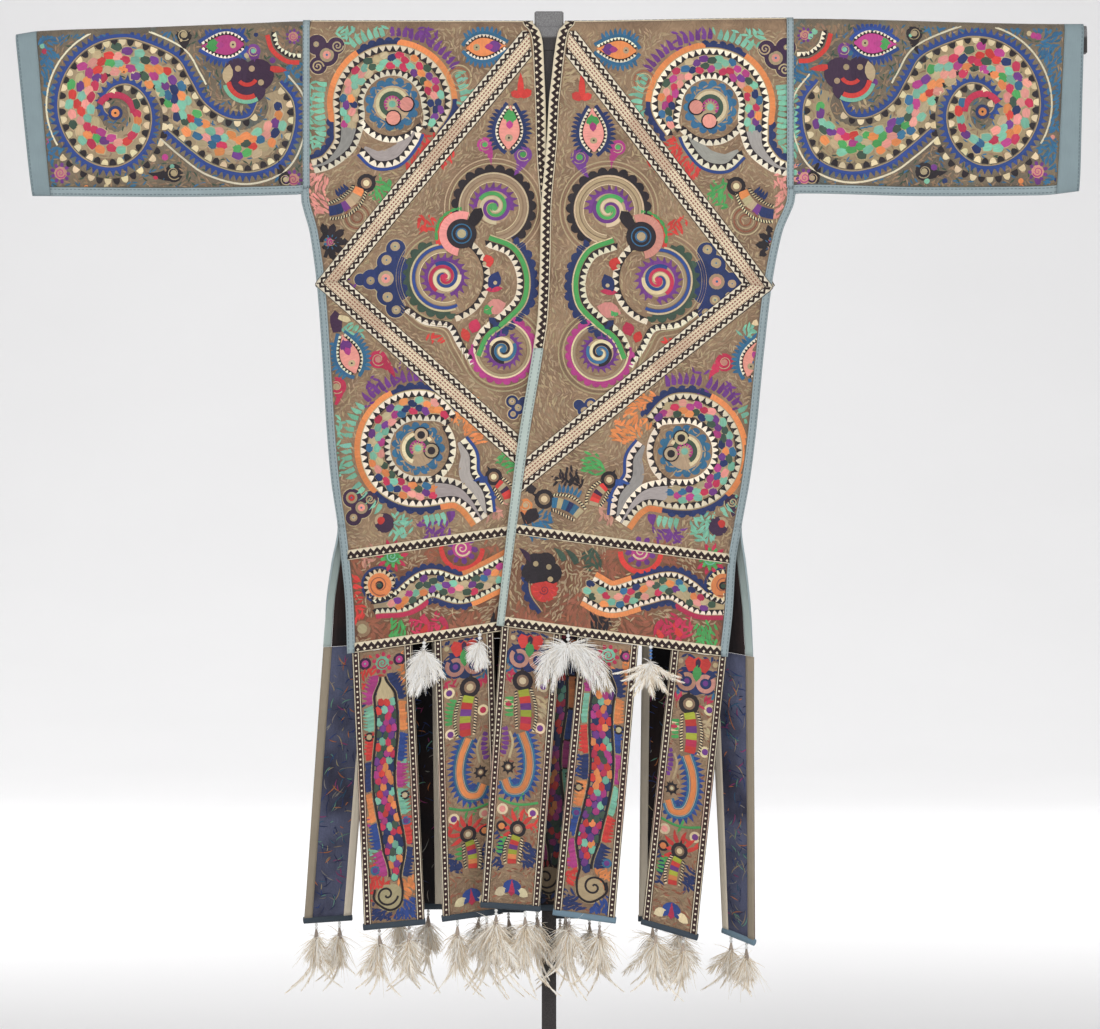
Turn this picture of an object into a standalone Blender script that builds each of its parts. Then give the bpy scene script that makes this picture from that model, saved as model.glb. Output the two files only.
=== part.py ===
"""An embroidered robe with hanging feathered strips, on a T-bar display stand.

Metres, +Z up. The robe's front faces -Y and its wearer's right is at -X. The origin is on the
floor, under the middle of the stand's base. A place on the cloth is an (x, drop) pair, where drop
is the distance below the top of the shoulders.
"""

import math
import random
from collections import namedtuple

import bmesh
import bpy
import numpy as np
from mathutils import Matrix, Vector

RIGHT, LEFT = -1, 1
FRONT, BACK = -1, 1

# Cloth thicknesses and clearances
WALL = 0.002
TRIM = 0.001
SEAM = 0.0003
LIFT = 0.0004
HANG_GAP = 0.0004
CLOTH_FACES = (-WALL / 2, WALL / 2)
TRIM_FACES = (WALL / 2 + LIFT, WALL / 2 + LIFT + TRIM)
ARMHOLE_FACES = (WALL / 2 + 2 * LIFT, WALL / 2 + 2 * LIFT + TRIM)

# Heights
SHOULDER_Z = 1.498
ARMPIT = 0.225
WAIST = 0.53
VENT_TOP = 0.662
VENT_FOOT = 0.829

# Widths of the sewn pieces
EDGE_STRIP = 0.010
EDGE_TURN = 0.0035
PANEL_EDGE = EDGE_STRIP + SEAM
FRONT_BRAID = 0.0135
BINDING_FOOT = 0.010
HEM_BAND = 0.013
SEAM_HEIGHT = 0.1285
DIAMOND_HALF = 0.0155
ARMHOLE_STRIP = (0.0012, -0.0078)
STRIP_TAPE = 0.0095
TAPE_STEP = 0.001
TAPE_RAISED = 0.0006

# The bar under the shoulders, and the cloth's half depth over it and at the chest
BAR_RADIUS = 0.011
BAR_HEIGHT = 0.036
BAR_WRAP = BAR_RADIUS + 0.0004 + WALL / 2
BAR_ENDS = (-0.672, 0.703)
BAR_STATIONS = 13
BODY_DEPTH = 0.038

# The cloth's form grows over these ranges of the drop, or of the distance from the middle line
FULL_DROPS = (0.05, 0.42)
FULL_REACH = (0.34, 0.16)
ROLL = (0.035, 0.100)
ROLL_DROPS = (0.15, 0.35)
FLAP_STANDOFF = {FRONT: 0.012, BACK: 0.020}

# Folds: depth, width of a wave, its shift with the face and with the drop, and the ranges of the
# drop, of the distance from the middle line and from the edge over which they grow
Folds = namedtuple("Folds", "depth width face_shift drop_shift drops reach edge")
BODY_FOLDS = Folds(0.0030, 0.19, 1.3, 1.5, (0.12, 0.55), (0.33, 0.26), (0.0, 0.06))
SLEEVE_FOLDS = Folds(0.0012, 0.12, 0.8, 6.0, (0.045, 0.12), (0.30, 0.36), (0.0, 0.05))

# The stand
POST_SIDE = 0.019
HEAD_SIZE = (0.038, 0.016, 0.034)
HEAD_TOP = SHOULDER_Z + 0.012
BASE_SIZE = (0.40, 0.30, 0.008)
BASE_CORNER = 0.030
BASE_EDGE = 0.0015
HEAD_EDGE = 0.002

# Half the width of the notch in the back that the stand's head stands in
NECK_HALF = 0.020

# How far the left front stands off the right front that it laps over, and where it grows to that
LAP = 0.005
LAP_X = (0.19, 0.09)
LAP_DROPS = (0.02, 0.11)

# The drop of the braid's upper end, and of the end of the braid on the left front's edge
BRAID_TOP = 0.0145
BRAID_END = 0.43

# Nearest points that a cut keeps apart, and that a joined sheet keeps apart
CUT_SNAP = 0.0005
JOIN_SNAP = 3e-5
SHARP_DEGREES = 35

# Tassels
ROOT_BAR = (0.004, 0.007)
NECK_WIDTH = 0.003
NECK_LENGTH = 0.008
HEAD_LENGTH = 0.016
HEAD_FLARE = 2.3
LOCK_INSET = 0.0004
SIDEWAYS = 0.4
FORWARD = 0.3
FRINGE_FOOT = 1.287
FRINGE_SPREAD = 0.014
FRINGE_ENDS = (0.02, 0.98)
FRINGE_PLACES = (0.24, 0.76)
# part of a lock's length, part of its lean, scale of its section
LOCK_STEPS = ((0.28, 0.40, 2.1), (0.72, 0.60, 0.35))

# drop, right edge x, left edge x
BODY_EDGE = (
    (0.000, -0.3240, 0.3220),
    (0.225, -0.3240, 0.3220),
    (0.277, -0.3120, 0.3040),
    (0.342, -0.3030, 0.2910),
    (0.426, -0.2965, 0.2810),
    (0.546, -0.2890, 0.2690),
    (0.606, -0.2835, 0.2610),
    (0.662, -0.2755, 0.2510),
)
FLAP_EDGE = {
    FRONT: ((0.710, -0.2700, 0.2430), (0.770, -0.2645, 0.2390), (0.829, -0.2625, 0.2325)),
    BACK: ((0.710, -0.2840, 0.2570), (0.770, -0.2925, 0.2640), (0.828, -0.2965, 0.2680)),
}

# drop, front edge x
RIGHT_FRONT_EDGE = (
    (0.000, -0.0210),
    (0.0062, -0.0205),
    (0.014, -0.0125),
    (0.032, -0.0080),
    (0.067, -0.0063),
    (0.123, -0.0040),
    (0.157, -0.0034),
    (0.300, 0.0080),
    (0.430, 0.0180),
    (0.800, 0.0600),
)
LEFT_FRONT_EDGE = (
    (0.000, 0.0206),
    (0.0062, 0.0202),
    (0.014, 0.0125),
    (0.044, 0.0070),
    (0.073, 0.0037),
    (0.111, -0.0004),
    (0.157, -0.0027),
    (0.250, -0.0104),
    (0.317, -0.0118),
    (0.387, -0.0145),
    (0.430, -0.0205),
    (0.562, -0.0420),
    (0.790, -0.0685),
)

# x, drop of the shoulder and sleeve top
SHOULDER = (
    (-0.699, 0.019),
    (-0.665, 0.014),
    (-0.520, 0.009),
    (-0.390, 0.004),
    (-0.322, 0.0015),
    (0.000, 0.002),
    (0.322, -0.002),
    (0.674, 0.005),
    (0.699, 0.005),
)
# x, drop of the sleeve's lower edge
SLEEVE_FOOT = (
    (-0.699, 0.228),
    (-0.676, 0.228),
    (-0.500, 0.229),
    (-0.330, 0.226),
    (-0.322, ARMPIT),
    (0.322, ARMPIT),
    (0.330, 0.2245),
    (0.500, 0.228),
    (0.640, 0.227),
    (0.699, 0.221),
)
# x at the sleeve's top, x at its lower edge
CUFF_OUTER = {RIGHT: (-0.699, -0.676), LEFT: (0.699, 0.6935)}
CUFF_INNER = {RIGHT: (-0.671, -0.652), LEFT: (0.674, 0.6635)}

# x, drop of each hem
HEM_FRONT_RIGHT = ((-0.330, 0.838), (0.100, 0.773))
HEM_FRONT_LEFT = ((-0.100, 0.7856), (0.330, 0.8456))
HEM_BACK = (
    (-0.3300, 0.8215),
    (-0.2965, 0.8200),
    (-0.1500, 0.8120),
    (0.0000, 0.8080),
    (0.1500, 0.8160),
    (0.3300, 0.8430),
)

# Rows of each sheet, as the way its place is measured and the value
WRAP_ROWS = [("wrap", math.asin(SEAM / 2 / BAR_WRAP))] + [("wrap", math.radians(a)) for a in (30, 60, 90)]
ARM_ROWS = [("down", drop) for drop in (0.05, 0.09, 0.13, 0.172, ARMPIT - PANEL_EDGE)]
SIDE_DROPS = (0.25, 0.29, 0.342, 0.39, BRAID_END, 0.48, WAIST, 0.58, 0.62, VENT_TOP)
SIDE_ROWS = [("down", drop) for drop in SIDE_DROPS]
UPPER_BAND_ROWS = [("hem", SEAM_HEIGHT + step * HEM_BAND / 2) for step in (1, 0, -1)]
MIDDLE_ROWS = [("hem", 0.088), ("hem", 0.05)]
LOWER_BAND_ROWS = [("hem", HEM_BAND), ("hem", 0.0)]
PANEL_ROWS = (
    WRAP_ROWS + ARM_ROWS + SIDE_ROWS + UPPER_BAND_ROWS[:1] + [("hem", SEAM_HEIGHT + SEAM / 2)]
)
HEM_PANEL_ROWS = [("hem", SEAM_HEIGHT - SEAM / 2)] + UPPER_BAND_ROWS[2:] + MIDDLE_ROWS + LOWER_BAND_ROWS
FULL_ROWS = WRAP_ROWS + ARM_ROWS + SIDE_ROWS + UPPER_BAND_ROWS + MIDDLE_ROWS + LOWER_BAND_ROWS

# Columns of a panel: the near edge, the line of its trim, then parts of the way to the side
NEAR_EDGE = -1
TRIM_LINE = 0
SPREAD = (0.16, 0.34, 0.54, 0.74, 0.90, 1.0)
BACK_SPREAD = (0.22, 0.44, 0.66, 0.86, 1.0)
SLEEVE_PARTS = tuple(i / 8 for i in range(9))

Strip = namedtuple("Strip", "name panel top bottom foot depth")
# name, panel that carries it, top x left and right, bottom x left and right,
# bottom drop left and right, bottom y left and right
STRIP_TABLE = (
    ("front_right_1", "front_right", (-0.2565, -0.1785), (-0.240, -0.162), (1.179, 1.171), (-0.038, -0.041)),
    ("front_right_2", "front_right", (-0.1490, -0.0725), (-0.138, -0.062), (1.168, 1.158), (-0.036, -0.033)),
    ("front_right_3", "front_right", (-0.0300, 0.0460), (-0.034, 0.040), (1.155, 1.155), (-0.021, -0.021)),
    ("front_left_1", "front_left", (-0.0614, 0.0151), (-0.087, -0.0123), (1.146, 1.152), (-0.070, -0.064)),
    ("front_left_2", "front_left", (0.0414, 0.1158), (0.0065, 0.0853), (1.158, 1.169), (-0.050, -0.047)),
    ("front_left_3", "front_left", (0.1593, 0.2304), (0.1215, 0.192), (1.171, 1.192), (-0.042, -0.038)),
    ("back_right_1", "back", (-0.2955, -0.2320), (-0.3217, -0.2616), (1.177, 1.175), (0.026, 0.046)),
    ("back_right_2", "back", (-0.2220, -0.1440), (-0.218, -0.140), (1.160, 1.160), (0.040, 0.043)),
    ("back_right_3", "back", (-0.1150, -0.0370), (-0.112, -0.034), (1.164, 1.164), (0.044, 0.042)),
    ("back_left_1", "back", (0.0000, 0.0780), (-0.005, 0.073), (1.172, 1.172), (0.041, 0.044)),
    ("back_left_2", "back", (0.1230, 0.1960), (0.119, 0.190), (1.176, 1.176), (0.043, 0.041)),
    ("back_left_3", "back", (0.2120, 0.2690), (0.2305, 0.269), (1.192, 1.204), (0.048, 0.008)),
)
STRIPS = [Strip(*row) for row in STRIP_TABLE]
STRIP_ROWS = 6
STRIP_SWAY = 0.003

HemTassel = namedtuple("HemTassel", "panel x neck length spread")
HEM_TASSELS = (
    HemTassel("front_right", -0.162, 0.010, 0.055, 0.020),
    HemTassel("front_right", -0.090, 0.010, 0.048, 0.010),
    HemTassel("front_left", 0.0248, 0.008, 0.058, 0.032),
    HemTassel("front_left", 0.132, 0.018, 0.040, 0.018),
)
HEM_KNOT = 0.007
HEM_KNOT_SHIFT = (0.0, -0.005, -0.003)

Finish = namedtuple("Finish", "colour roughness metallic")
FINISHES = {
    "silk": Finish((0.30, 0.25, 0.17), 0.55, 0.0),
    "sleeve_silk": Finish((0.25, 0.29, 0.27), 0.55, 0.0),
    "cotton": Finish((0.23, 0.34, 0.40), 0.9, 0.0),
    "pale_cotton": Finish((0.50, 0.60, 0.56), 0.9, 0.0),
    "braid": Finish((0.10, 0.07, 0.06), 0.8, 0.0),
    "feather": Finish((0.86, 0.82, 0.74), 0.8, 0.0),
    "stand": Finish((0.03, 0.03, 0.035), 0.5, 0.6),
}

Spot = namedtuple("Spot", "point outward raised")


def ramp(start, end, value):
    """Rises smoothly from 0 at start to 1 at end."""
    part = min(max((value - start) / (end - start), 0.0), 1.0)
    return part * part * (3 - 2 * part)


def mix(pair, part):
    return pair[0] + (pair[1] - pair[0]) * part


def quarter(part):
    """A quarter of an ellipse: rises steeply from 0, and is level at 1."""
    part = min(max(part, 0.0), 1.0)
    return math.sqrt(1 - (1 - part) ** 2)


def smooth_curve(rows, column=1):
    """A smooth function through the rows' first and given columns, with no overshoot between them."""
    places = np.array([row[0] for row in rows])
    values = np.array([row[column] for row in rows])
    slopes = np.diff(values) / np.diff(places)
    tangents = np.concatenate([slopes[:1], np.zeros(len(rows) - 2), slopes[-1:]])
    for i in range(1, len(rows) - 1):
        before, after = slopes[i - 1], slopes[i]
        if before * after > 0:
            tangents[i] = 2 * before * after / (before + after)

    def curve(place):
        place = min(max(place, places[0]), places[-1])
        i = min(int(np.searchsorted(places, place, side="right")) - 1, len(slopes) - 1)
        span = places[i + 1] - places[i]
        part = (place - places[i]) / span
        rise = part * part * (3 - 2 * part)
        start = part * (1 - part) ** 2 * span
        end = part * part * (part - 1) * span
        return values[i] * (1 - rise) + values[i + 1] * rise + tangents[i] * start + tangents[i + 1] * end

    return curve


shoulder = smooth_curve(SHOULDER)
sleeve_foot = smooth_curve(SLEEVE_FOOT)
SIDE_EDGES = {
    (side, face): smooth_curve(BODY_EDGE + FLAP_EDGE[face], 1 if side == RIGHT else 2)
    for side in (RIGHT, LEFT)
    for face in (FRONT, BACK)
}
FRONT_EDGES = {RIGHT: smooth_curve(RIGHT_FRONT_EDGE), LEFT: smooth_curve(LEFT_FRONT_EDGE)}


def side_of(x):
    return RIGHT if x < 0 else LEFT


def inward(x, drop, face):
    """How far a place lies in from the side seam or from the sleeve's lower edge."""
    side = side_of(x)
    from_side = (SIDE_EDGES[side, face](drop) - x) * side
    return max(from_side, sleeve_foot(x) - drop)


def fold(x, drop, face, edge):
    """The soft folds of the hanging cloth, which grow downwards and die out at the edges."""
    total = 0.0
    for folds in (BODY_FOLDS, SLEEVE_FOLDS):
        depth = folds.depth * ramp(*folds.drops, drop) * ramp(*folds.reach, abs(x)) * ramp(*folds.edge, edge)
        shift = folds.face_shift * face + folds.drop_shift * drop
        total += depth * math.sin(2 * math.pi * x / folds.width + shift)
    return total


def surface(x, drop, face, lap=0):
    """The middle of the cloth at a place, as x, y, z."""
    edge = inward(x, drop, face)
    crown = quarter((drop - shoulder(x)) / BAR_WRAP)
    full = mix((BAR_WRAP, BODY_DEPTH), ramp(*FULL_REACH, abs(x)) * ramp(*FULL_DROPS, drop))
    open_edge = FLAP_STANDOFF[face] * ramp(VENT_TOP, VENT_FOOT, drop)
    roll = mix(ROLL, ramp(*ROLL_DROPS, drop))
    depth = crown * (open_edge + (full - open_edge) * quarter(edge / roll)) + fold(x, drop, face, edge)
    depth += lap * LAP * ramp(*LAP_X, x) * ramp(*LAP_DROPS, drop)
    return np.array((x, face * depth, SHOULDER_Z - drop))


def spot(x, drop, face, lap=0):
    """The cloth's middle point at a place, with its outward direction."""
    step = 1e-6
    across = surface(x + step, drop, face, lap) - surface(x - step, drop, face, lap)
    down = surface(x, drop + step, face, lap) - surface(x, drop - step, face, lap)
    outward = np.cross(across, down) * face
    return Spot(surface(x, drop, face, lap), outward / np.linalg.norm(outward), 0.0)


def fold_spot(x, drop):
    """A spot on the edge where the front turns into the back."""
    front, back = spot(x, drop, FRONT), spot(x, drop, BACK)
    outward = front.outward + back.outward
    point = (front.point + back.point) / 2
    return Spot(point, outward / np.linalg.norm(outward), 0.0)


class Panel:
    """A front or the back of the body: its face of the robe, its hem line, and whether it laps over."""

    def __init__(self, face, sides, hem, lap=0):
        self.face = face
        self.sides = sides
        self.hem = smooth_curve(hem)
        self.lap = lap

    def near_x(self, side, drop):
        if self.face == BACK:
            return side * NECK_HALF
        return FRONT_EDGES[side](drop)

    def trim_x(self, side, drop):
        if self.face == BACK:
            return self.near_x(side, drop)
        taper = ramp(0.54, 0.79, drop) * self.lap
        return self.near_x(side, drop) + side * (FRONT_BRAID + (BINDING_FOOT - FRONT_BRAID) * taper)

    def column_x(self, column, drop, inset):
        side, part = column
        if part == NEAR_EDGE:
            return self.near_x(side, drop)
        trim = self.trim_x(side, drop) + side * inset
        edge = SIDE_EDGES[side, self.face](drop) - side * PANEL_EDGE
        return trim + part * (edge - trim)

    def row_drop(self, row, x):
        way, value = row
        side = side_of(x) if self.face == BACK else self.sides[0]
        if way == "hem":
            return self.hem(x) - value
        if way == "wrap":
            return shoulder(x) + BAR_WRAP * (1 - math.cos(value))
        if value <= WAIST:
            return value
        seam_here = self.hem(x) - SEAM_HEIGHT
        seam_side = self.hem(SIDE_EDGES[side, self.face](VENT_TOP)) - SEAM_HEIGHT
        return WAIST + (value - WAIST) * (seam_here - WAIST) / (seam_side - WAIST)

    def place(self, row, column, inset=0.0):
        """The place where a row crosses a column."""
        drop = row[1] if row[0] == "down" else 0.0 if row[0] == "wrap" else self.hem(0.0) - row[1]
        for _ in range(4):
            x = self.column_x(column, drop, inset)
            drop = self.row_drop(row, x)
        return x, drop

    def sheet(self, rows, columns, inset=0.0):
        places = [[self.place(row, column, inset) for column in columns] for row in rows]
        return [[spot(x, drop, self.face, self.lap) for x, drop in line] for line in places]


PANELS = {
    "front_right": Panel(FRONT, (RIGHT,), HEM_FRONT_RIGHT),
    "front_left": Panel(FRONT, (LEFT,), HEM_FRONT_LEFT, lap=1),
    "back": Panel(BACK, (RIGHT, LEFT), HEM_BACK),
}


def panel_columns(panel, with_near_edge=True):
    if panel.face == BACK:
        half = (NEAR_EDGE,) + BACK_SPREAD
        return [(RIGHT, part) for part in reversed(half)] + [(LEFT, part) for part in half]
    parts = ((NEAR_EDGE,) if with_near_edge else ()) + (TRIM_LINE,) + SPREAD
    return [(panel.sides[0], part) for part in parts]


def sheet_mesh(rows, closed=False, notch=()):
    """An open triangulated sheet through the rows' spots, which keeps each spot's direction and height.

    A notch lists the cells that are left open, as row and column numbers.
    """
    mesh = bmesh.new()
    outward = mesh.verts.layers.float_vector.new("outward")
    raised = mesh.verts.layers.float.new("raised")
    lines = []
    for row in rows:
        line = []
        for each in row:
            vertex = mesh.verts.new(each.point)
            vertex[outward] = each.outward
            vertex[raised] = each.raised
            line.append(vertex)
        lines.append(line)
    if closed:
        lines.append(lines[0])
    for row, (upper, lower) in enumerate(zip(lines, lines[1:])):
        for i in range(len(upper) - 1):
            if (row, i) in notch:
                continue
            mesh.faces.new((upper[i], lower[i], lower[i + 1]))
            mesh.faces.new((upper[i], lower[i + 1], upper[i + 1]))
    bmesh.ops.delete(mesh, geom=[v for v in mesh.verts if not v.link_faces], context="VERTS")
    return mesh


def solid_mesh(sheet, faces):
    """A closed wall along the sheet, between two distances out from it."""
    inner, outer = faces
    outward = sheet.verts.layers.float_vector["outward"]
    raised = sheet.verts.layers.float["raised"]
    solid = bmesh.new()
    below, above = {}, {}
    for vertex in sheet.verts:
        below[vertex] = solid.verts.new(vertex.co + vertex[outward] * inner)
        above[vertex] = solid.verts.new(vertex.co + vertex[outward] * (outer + vertex[raised]))
    for face in sheet.faces:
        solid.faces.new([above[vertex] for vertex in face.verts])
        solid.faces.new([below[vertex] for vertex in reversed(face.verts)])
    # Both sides of a seam split their rims along the same diagonal, so twisted rims stay parallel.
    for edge in sheet.edges:
        if len(edge.link_loops) == 1:
            first, last = sorted(edge.verts, key=lambda vertex: vertex.co.x + 3 * vertex.co.z)
            solid.faces.new((above[first], below[first], below[last]))
            solid.faces.new((above[first], below[last], above[last]))
    bmesh.ops.recalc_face_normals(solid, faces=solid.faces)
    sheet.free()
    return solid


def add_node(name, mesh, finish):
    """Makes a named object of the mesh, with a material of its own."""
    data = bpy.data.meshes.new(name)
    mesh.to_mesh(data)
    mesh.free()
    material = bpy.data.materials.new(name + "_finish")
    material.use_nodes = True
    shader = material.node_tree.nodes["Principled BSDF"]
    shader.inputs["Base Color"].default_value = (*FINISHES[finish].colour, 1.0)
    shader.inputs["Roughness"].default_value = FINISHES[finish].roughness
    shader.inputs["Metallic"].default_value = FINISHES[finish].metallic
    data.materials.append(material)
    data.shade_smooth()
    data.set_sharp_from_angle(angle=math.radians(SHARP_DEGREES))
    node = bpy.data.objects.new(name, data)
    bpy.context.scene.collection.objects.link(node)
    return node


def add_cloth(name, rows, finish, faces=CLOTH_FACES, closed=False, notch=()):
    return add_node(name, solid_mesh(sheet_mesh(rows, closed, notch), faces), finish)


def neck_notch(panel):
    """The cells of the back's sheet that the neck leaves open."""
    if panel.face == FRONT:
        return ()
    return [(row, len(BACK_SPREAD)) for row in range(len(WRAP_ROWS) - 1)]


def add_panels():
    for name, panel in PANELS.items():
        columns = panel_columns(panel)
        add_cloth(name + "_panel", panel.sheet(PANEL_ROWS, columns), "silk", notch=neck_notch(panel))
        add_cloth("hem_panel_" + name, panel.sheet(HEM_PANEL_ROWS, columns), "silk")
        band_columns = panel_columns(panel, with_near_edge=False)
        for band, rows in (("upper", UPPER_BAND_ROWS), ("lower", LOWER_BAND_ROWS)):
            sheet = panel.sheet(rows, band_columns, inset=SEAM)
            add_cloth(f"hem_band_{band}_{name}", sheet, "braid", TRIM_FACES)


def add_front_trims():
    right, left = PANELS["front_right"], PANELS["front_left"]
    braid_end = FULL_ROWS.index(("down", BRAID_END)) + 1
    binding_rows = [("down", BRAID_END + SEAM)] + FULL_ROWS[braid_end:]
    trims = (
        ("front_band_right", right, FULL_ROWS, "braid"),
        ("front_band_left", left, FULL_ROWS[:braid_end], "braid"),
        ("front_binding_left", left, binding_rows, "pale_cotton"),
    )
    for name, panel, rows, finish in trims:
        columns = [(panel.sides[0], NEAR_EDGE), (panel.sides[0], TRIM_LINE)]
        add_cloth(name, panel.sheet(rows, columns), finish, TRIM_FACES)


def cuff_x(lines, side, drop):
    top, foot = lines[side]
    return top + (foot - top) * drop / sleeve_foot(foot)


def sleeve_place(side, row, part):
    """The place on a sleeve: part is 0 at the cuff and 1 at the armhole."""
    armhole = SIDE_EDGES[side, FRONT](0.0) - side * (PANEL_EDGE - SEAM)
    drop = row[1]
    for _ in range(4):
        cuff = cuff_x(CUFF_INNER, side, drop) - side * SEAM
        x = cuff + (armhole - cuff) * part
        drop = sleeve_drop(row, x)
    return x, drop


def sleeve_drop(row, x):
    way, value = row
    top, foot = shoulder(x), sleeve_foot(x)
    if way == "wrap":
        return top + BAR_WRAP * (1 - math.cos(value))
    if way == "foot":
        return foot - value
    part = (value - BAR_WRAP) / (ARMPIT - PANEL_EDGE - BAR_WRAP)
    return top + BAR_WRAP + part * (foot - PANEL_EDGE - top - BAR_WRAP)


def add_sleeves():
    for side, label in ((RIGHT, "right"), (LEFT, "left")):
        for face, face_label in ((FRONT, "front"), (BACK, "back")):
            sheet = []
            for row in WRAP_ROWS + ARM_ROWS:
                places = [sleeve_place(side, row, part) for part in SLEEVE_PARTS]
                sheet.append([spot(x, drop, face) for x, drop in places])
            add_cloth(f"sleeve_{label}_{face_label}", sheet, "sleeve_silk")
        add_cuff(side, label)
        add_armhole_strip(side, label)
        add_underarm_strip(side, label)


def ring_rows(rows, spot_at):
    """Rows over the top, down the front, round the lower edge and up the back."""
    front = [spot_at(row, FRONT) for row in rows]
    back = [spot_at(row, BACK) for row in reversed(rows)]
    return [spot_at(("wrap", 0.0), None)] + front + [spot_at(("foot", 0.0), None)] + back


def add_cuff(side, label):
    def line(row, face):
        spots = []
        for lines in (CUFF_OUTER, CUFF_INNER):
            drop = row[1]
            for _ in range(4):
                x = cuff_x(lines, side, drop)
                drop = sleeve_drop(row, x)
            spots.append(fold_spot(x, drop) if face is None else spot(x, drop, face))
        return spots

    rows = WRAP_ROWS[1:] + ARM_ROWS[:-1] + [("foot", EDGE_STRIP), ("foot", EDGE_TURN)]
    add_cloth(f"cuff_{label}", ring_rows(rows, line), "cotton", closed=True)


def add_armhole_strip(side, label):
    """A narrow strip over the seam, from the armpit over the shoulder and down the back."""
    armhole = SIDE_EDGES[side, FRONT](0.0) - side * PANEL_EDGE

    def line(row, face):
        spots = []
        for shift in ARMHOLE_STRIP:
            x = armhole - side * shift
            drop = sleeve_drop(row, x)
            spots.append(fold_spot(x, drop) if face is None else spot(x, drop, face))
        return spots

    rows = WRAP_ROWS[1:] + ARM_ROWS
    sheet = [line(row, FRONT) for row in reversed(rows)] + [line(("wrap", 0.0), None)]
    sheet += [line(row, BACK) for row in rows]
    add_cloth(f"armhole_strip_{label}", sheet, "cotton", ARMHOLE_FACES)


def add_underarm_strip(side, label):
    """One strip from the cuff to the armpit and down the side, which splits at the vent to bind its edges."""
    section = ((EDGE_STRIP, FRONT), (EDGE_TURN, FRONT), (0.0, None), (EDGE_TURN, BACK), (EDGE_STRIP, BACK))

    def edge_spot(x, drop, face):
        return fold_spot(x, drop) if face is None else spot(x, drop, face)

    rows = []
    for part in SLEEVE_PARTS[:-1]:
        rows.append([edge_spot(*sleeve_place(side, ("foot", d), part), face) for d, face in section])
    corner = SIDE_EDGES[side, FRONT](ARMPIT)
    rows.append([edge_spot(corner - side * d, ARMPIT - d, face) for d, face in section])
    for _, drop in SIDE_ROWS:
        edge = SIDE_EDGES[side, FRONT](drop)
        rows.append([edge_spot(edge - side * d, drop, face) for d, face in section])

    flaps = []
    for face, columns in ((FRONT, section[:3]), (BACK, section[2:])):
        panel = PANELS["back"] if face == BACK else PANELS["front_right" if side == RIGHT else "front_left"]
        flap = [rows[-1][:3] if face == FRONT else rows[-1][2:]]
        for row in UPPER_BAND_ROWS + MIDDLE_ROWS + LOWER_BAND_ROWS:
            line = []
            for d, _ in columns:
                drop = VENT_FOOT - row[1]
                for _ in range(4):
                    x = SIDE_EDGES[side, face](drop) - side * d
                    drop = panel.row_drop(row, x)
                line.append(spot(x, drop, face))
            flap.append(line)
        flaps.append(flap)
    sheet = joined_sheet([face for grid in [rows] + flaps for face in sheet_faces(sheet_mesh(grid))])
    add_node(f"underarm_strip_{label}", solid_mesh(sheet, CLOTH_FACES), "cotton")


def sheet_faces(sheet):
    """Takes a sheet apart into its faces, each a list of spots."""
    outward = sheet.verts.layers.float_vector["outward"]
    raised = sheet.verts.layers.float["raised"]
    spots = {v: Spot(v.co.copy(), v[outward].copy(), v[raised]) for v in sheet.verts}
    faces = [[spots[v] for v in face.verts] for face in sheet.faces]
    sheet.free()
    return faces


def joined_sheet(faces):
    """One sheet of the faces, which share their points where these meet."""
    mesh = bmesh.new()
    outward = mesh.verts.layers.float_vector.new("outward")
    raised = mesh.verts.layers.float.new("raised")
    for face in faces:
        corners = []
        for each in face:
            vertex = mesh.verts.new(each.point)
            vertex[outward] = each.outward
            vertex[raised] = each.raised
            corners.append(vertex)
        mesh.faces.new(corners)
    bmesh.ops.remove_doubles(mesh, verts=mesh.verts, dist=JOIN_SNAP)
    return mesh


def on_plan(place):
    x, drop = place
    return Vector((x, 0.0, SHOULDER_Z - drop))


def cut(sheet, start, end, keep):
    """Cuts the sheet along the line through two places, and keeps the side that the third is on."""
    line = on_plan(end) - on_plan(start)
    away = Vector((line.z, 0.0, -line.x)).normalized()
    if away.dot(on_plan(keep) - on_plan(start)) > 0:
        away.negate()
    everything = sheet.verts[:] + sheet.edges[:] + sheet.faces[:]
    bmesh.ops.bisect_plane(
        sheet, geom=everything, dist=CUT_SNAP, plane_co=on_plan(start), plane_no=away, clear_outer=True
    )


def diamond_leg(rows, tip, corner, other, ends):
    """The stretch of a diamond band from its tip to the mitred corner."""
    leg = sheet_mesh(rows)
    tip_at, corner_at, other_at = (np.array(place) for place in (tip, corner, other))
    along = (corner_at - tip_at) / np.linalg.norm(corner_at - tip_at)
    onward = (other_at - corner_at) / np.linalg.norm(other_at - corner_at)
    across = np.array((-along[1], along[0])) * DIAMOND_HALF
    for shift in (across, -across):
        cut(leg, tip_at + shift, corner_at + shift, tip_at)
    cut(leg, corner_at, corner_at + onward - along, tip_at)
    for start, end, keep in ends:
        cut(leg, start, end, keep)
    return sheet_faces(leg)


def along_trim(panel, side, upper, lower):
    """A cut beside a front's edge trim, through its outer line at two drops."""
    ends = [(panel.trim_x(side, drop) + side * 2 * SEAM, drop) for drop in (upper, lower)]
    return (*ends, (side * 0.2, 0.3))


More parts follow.
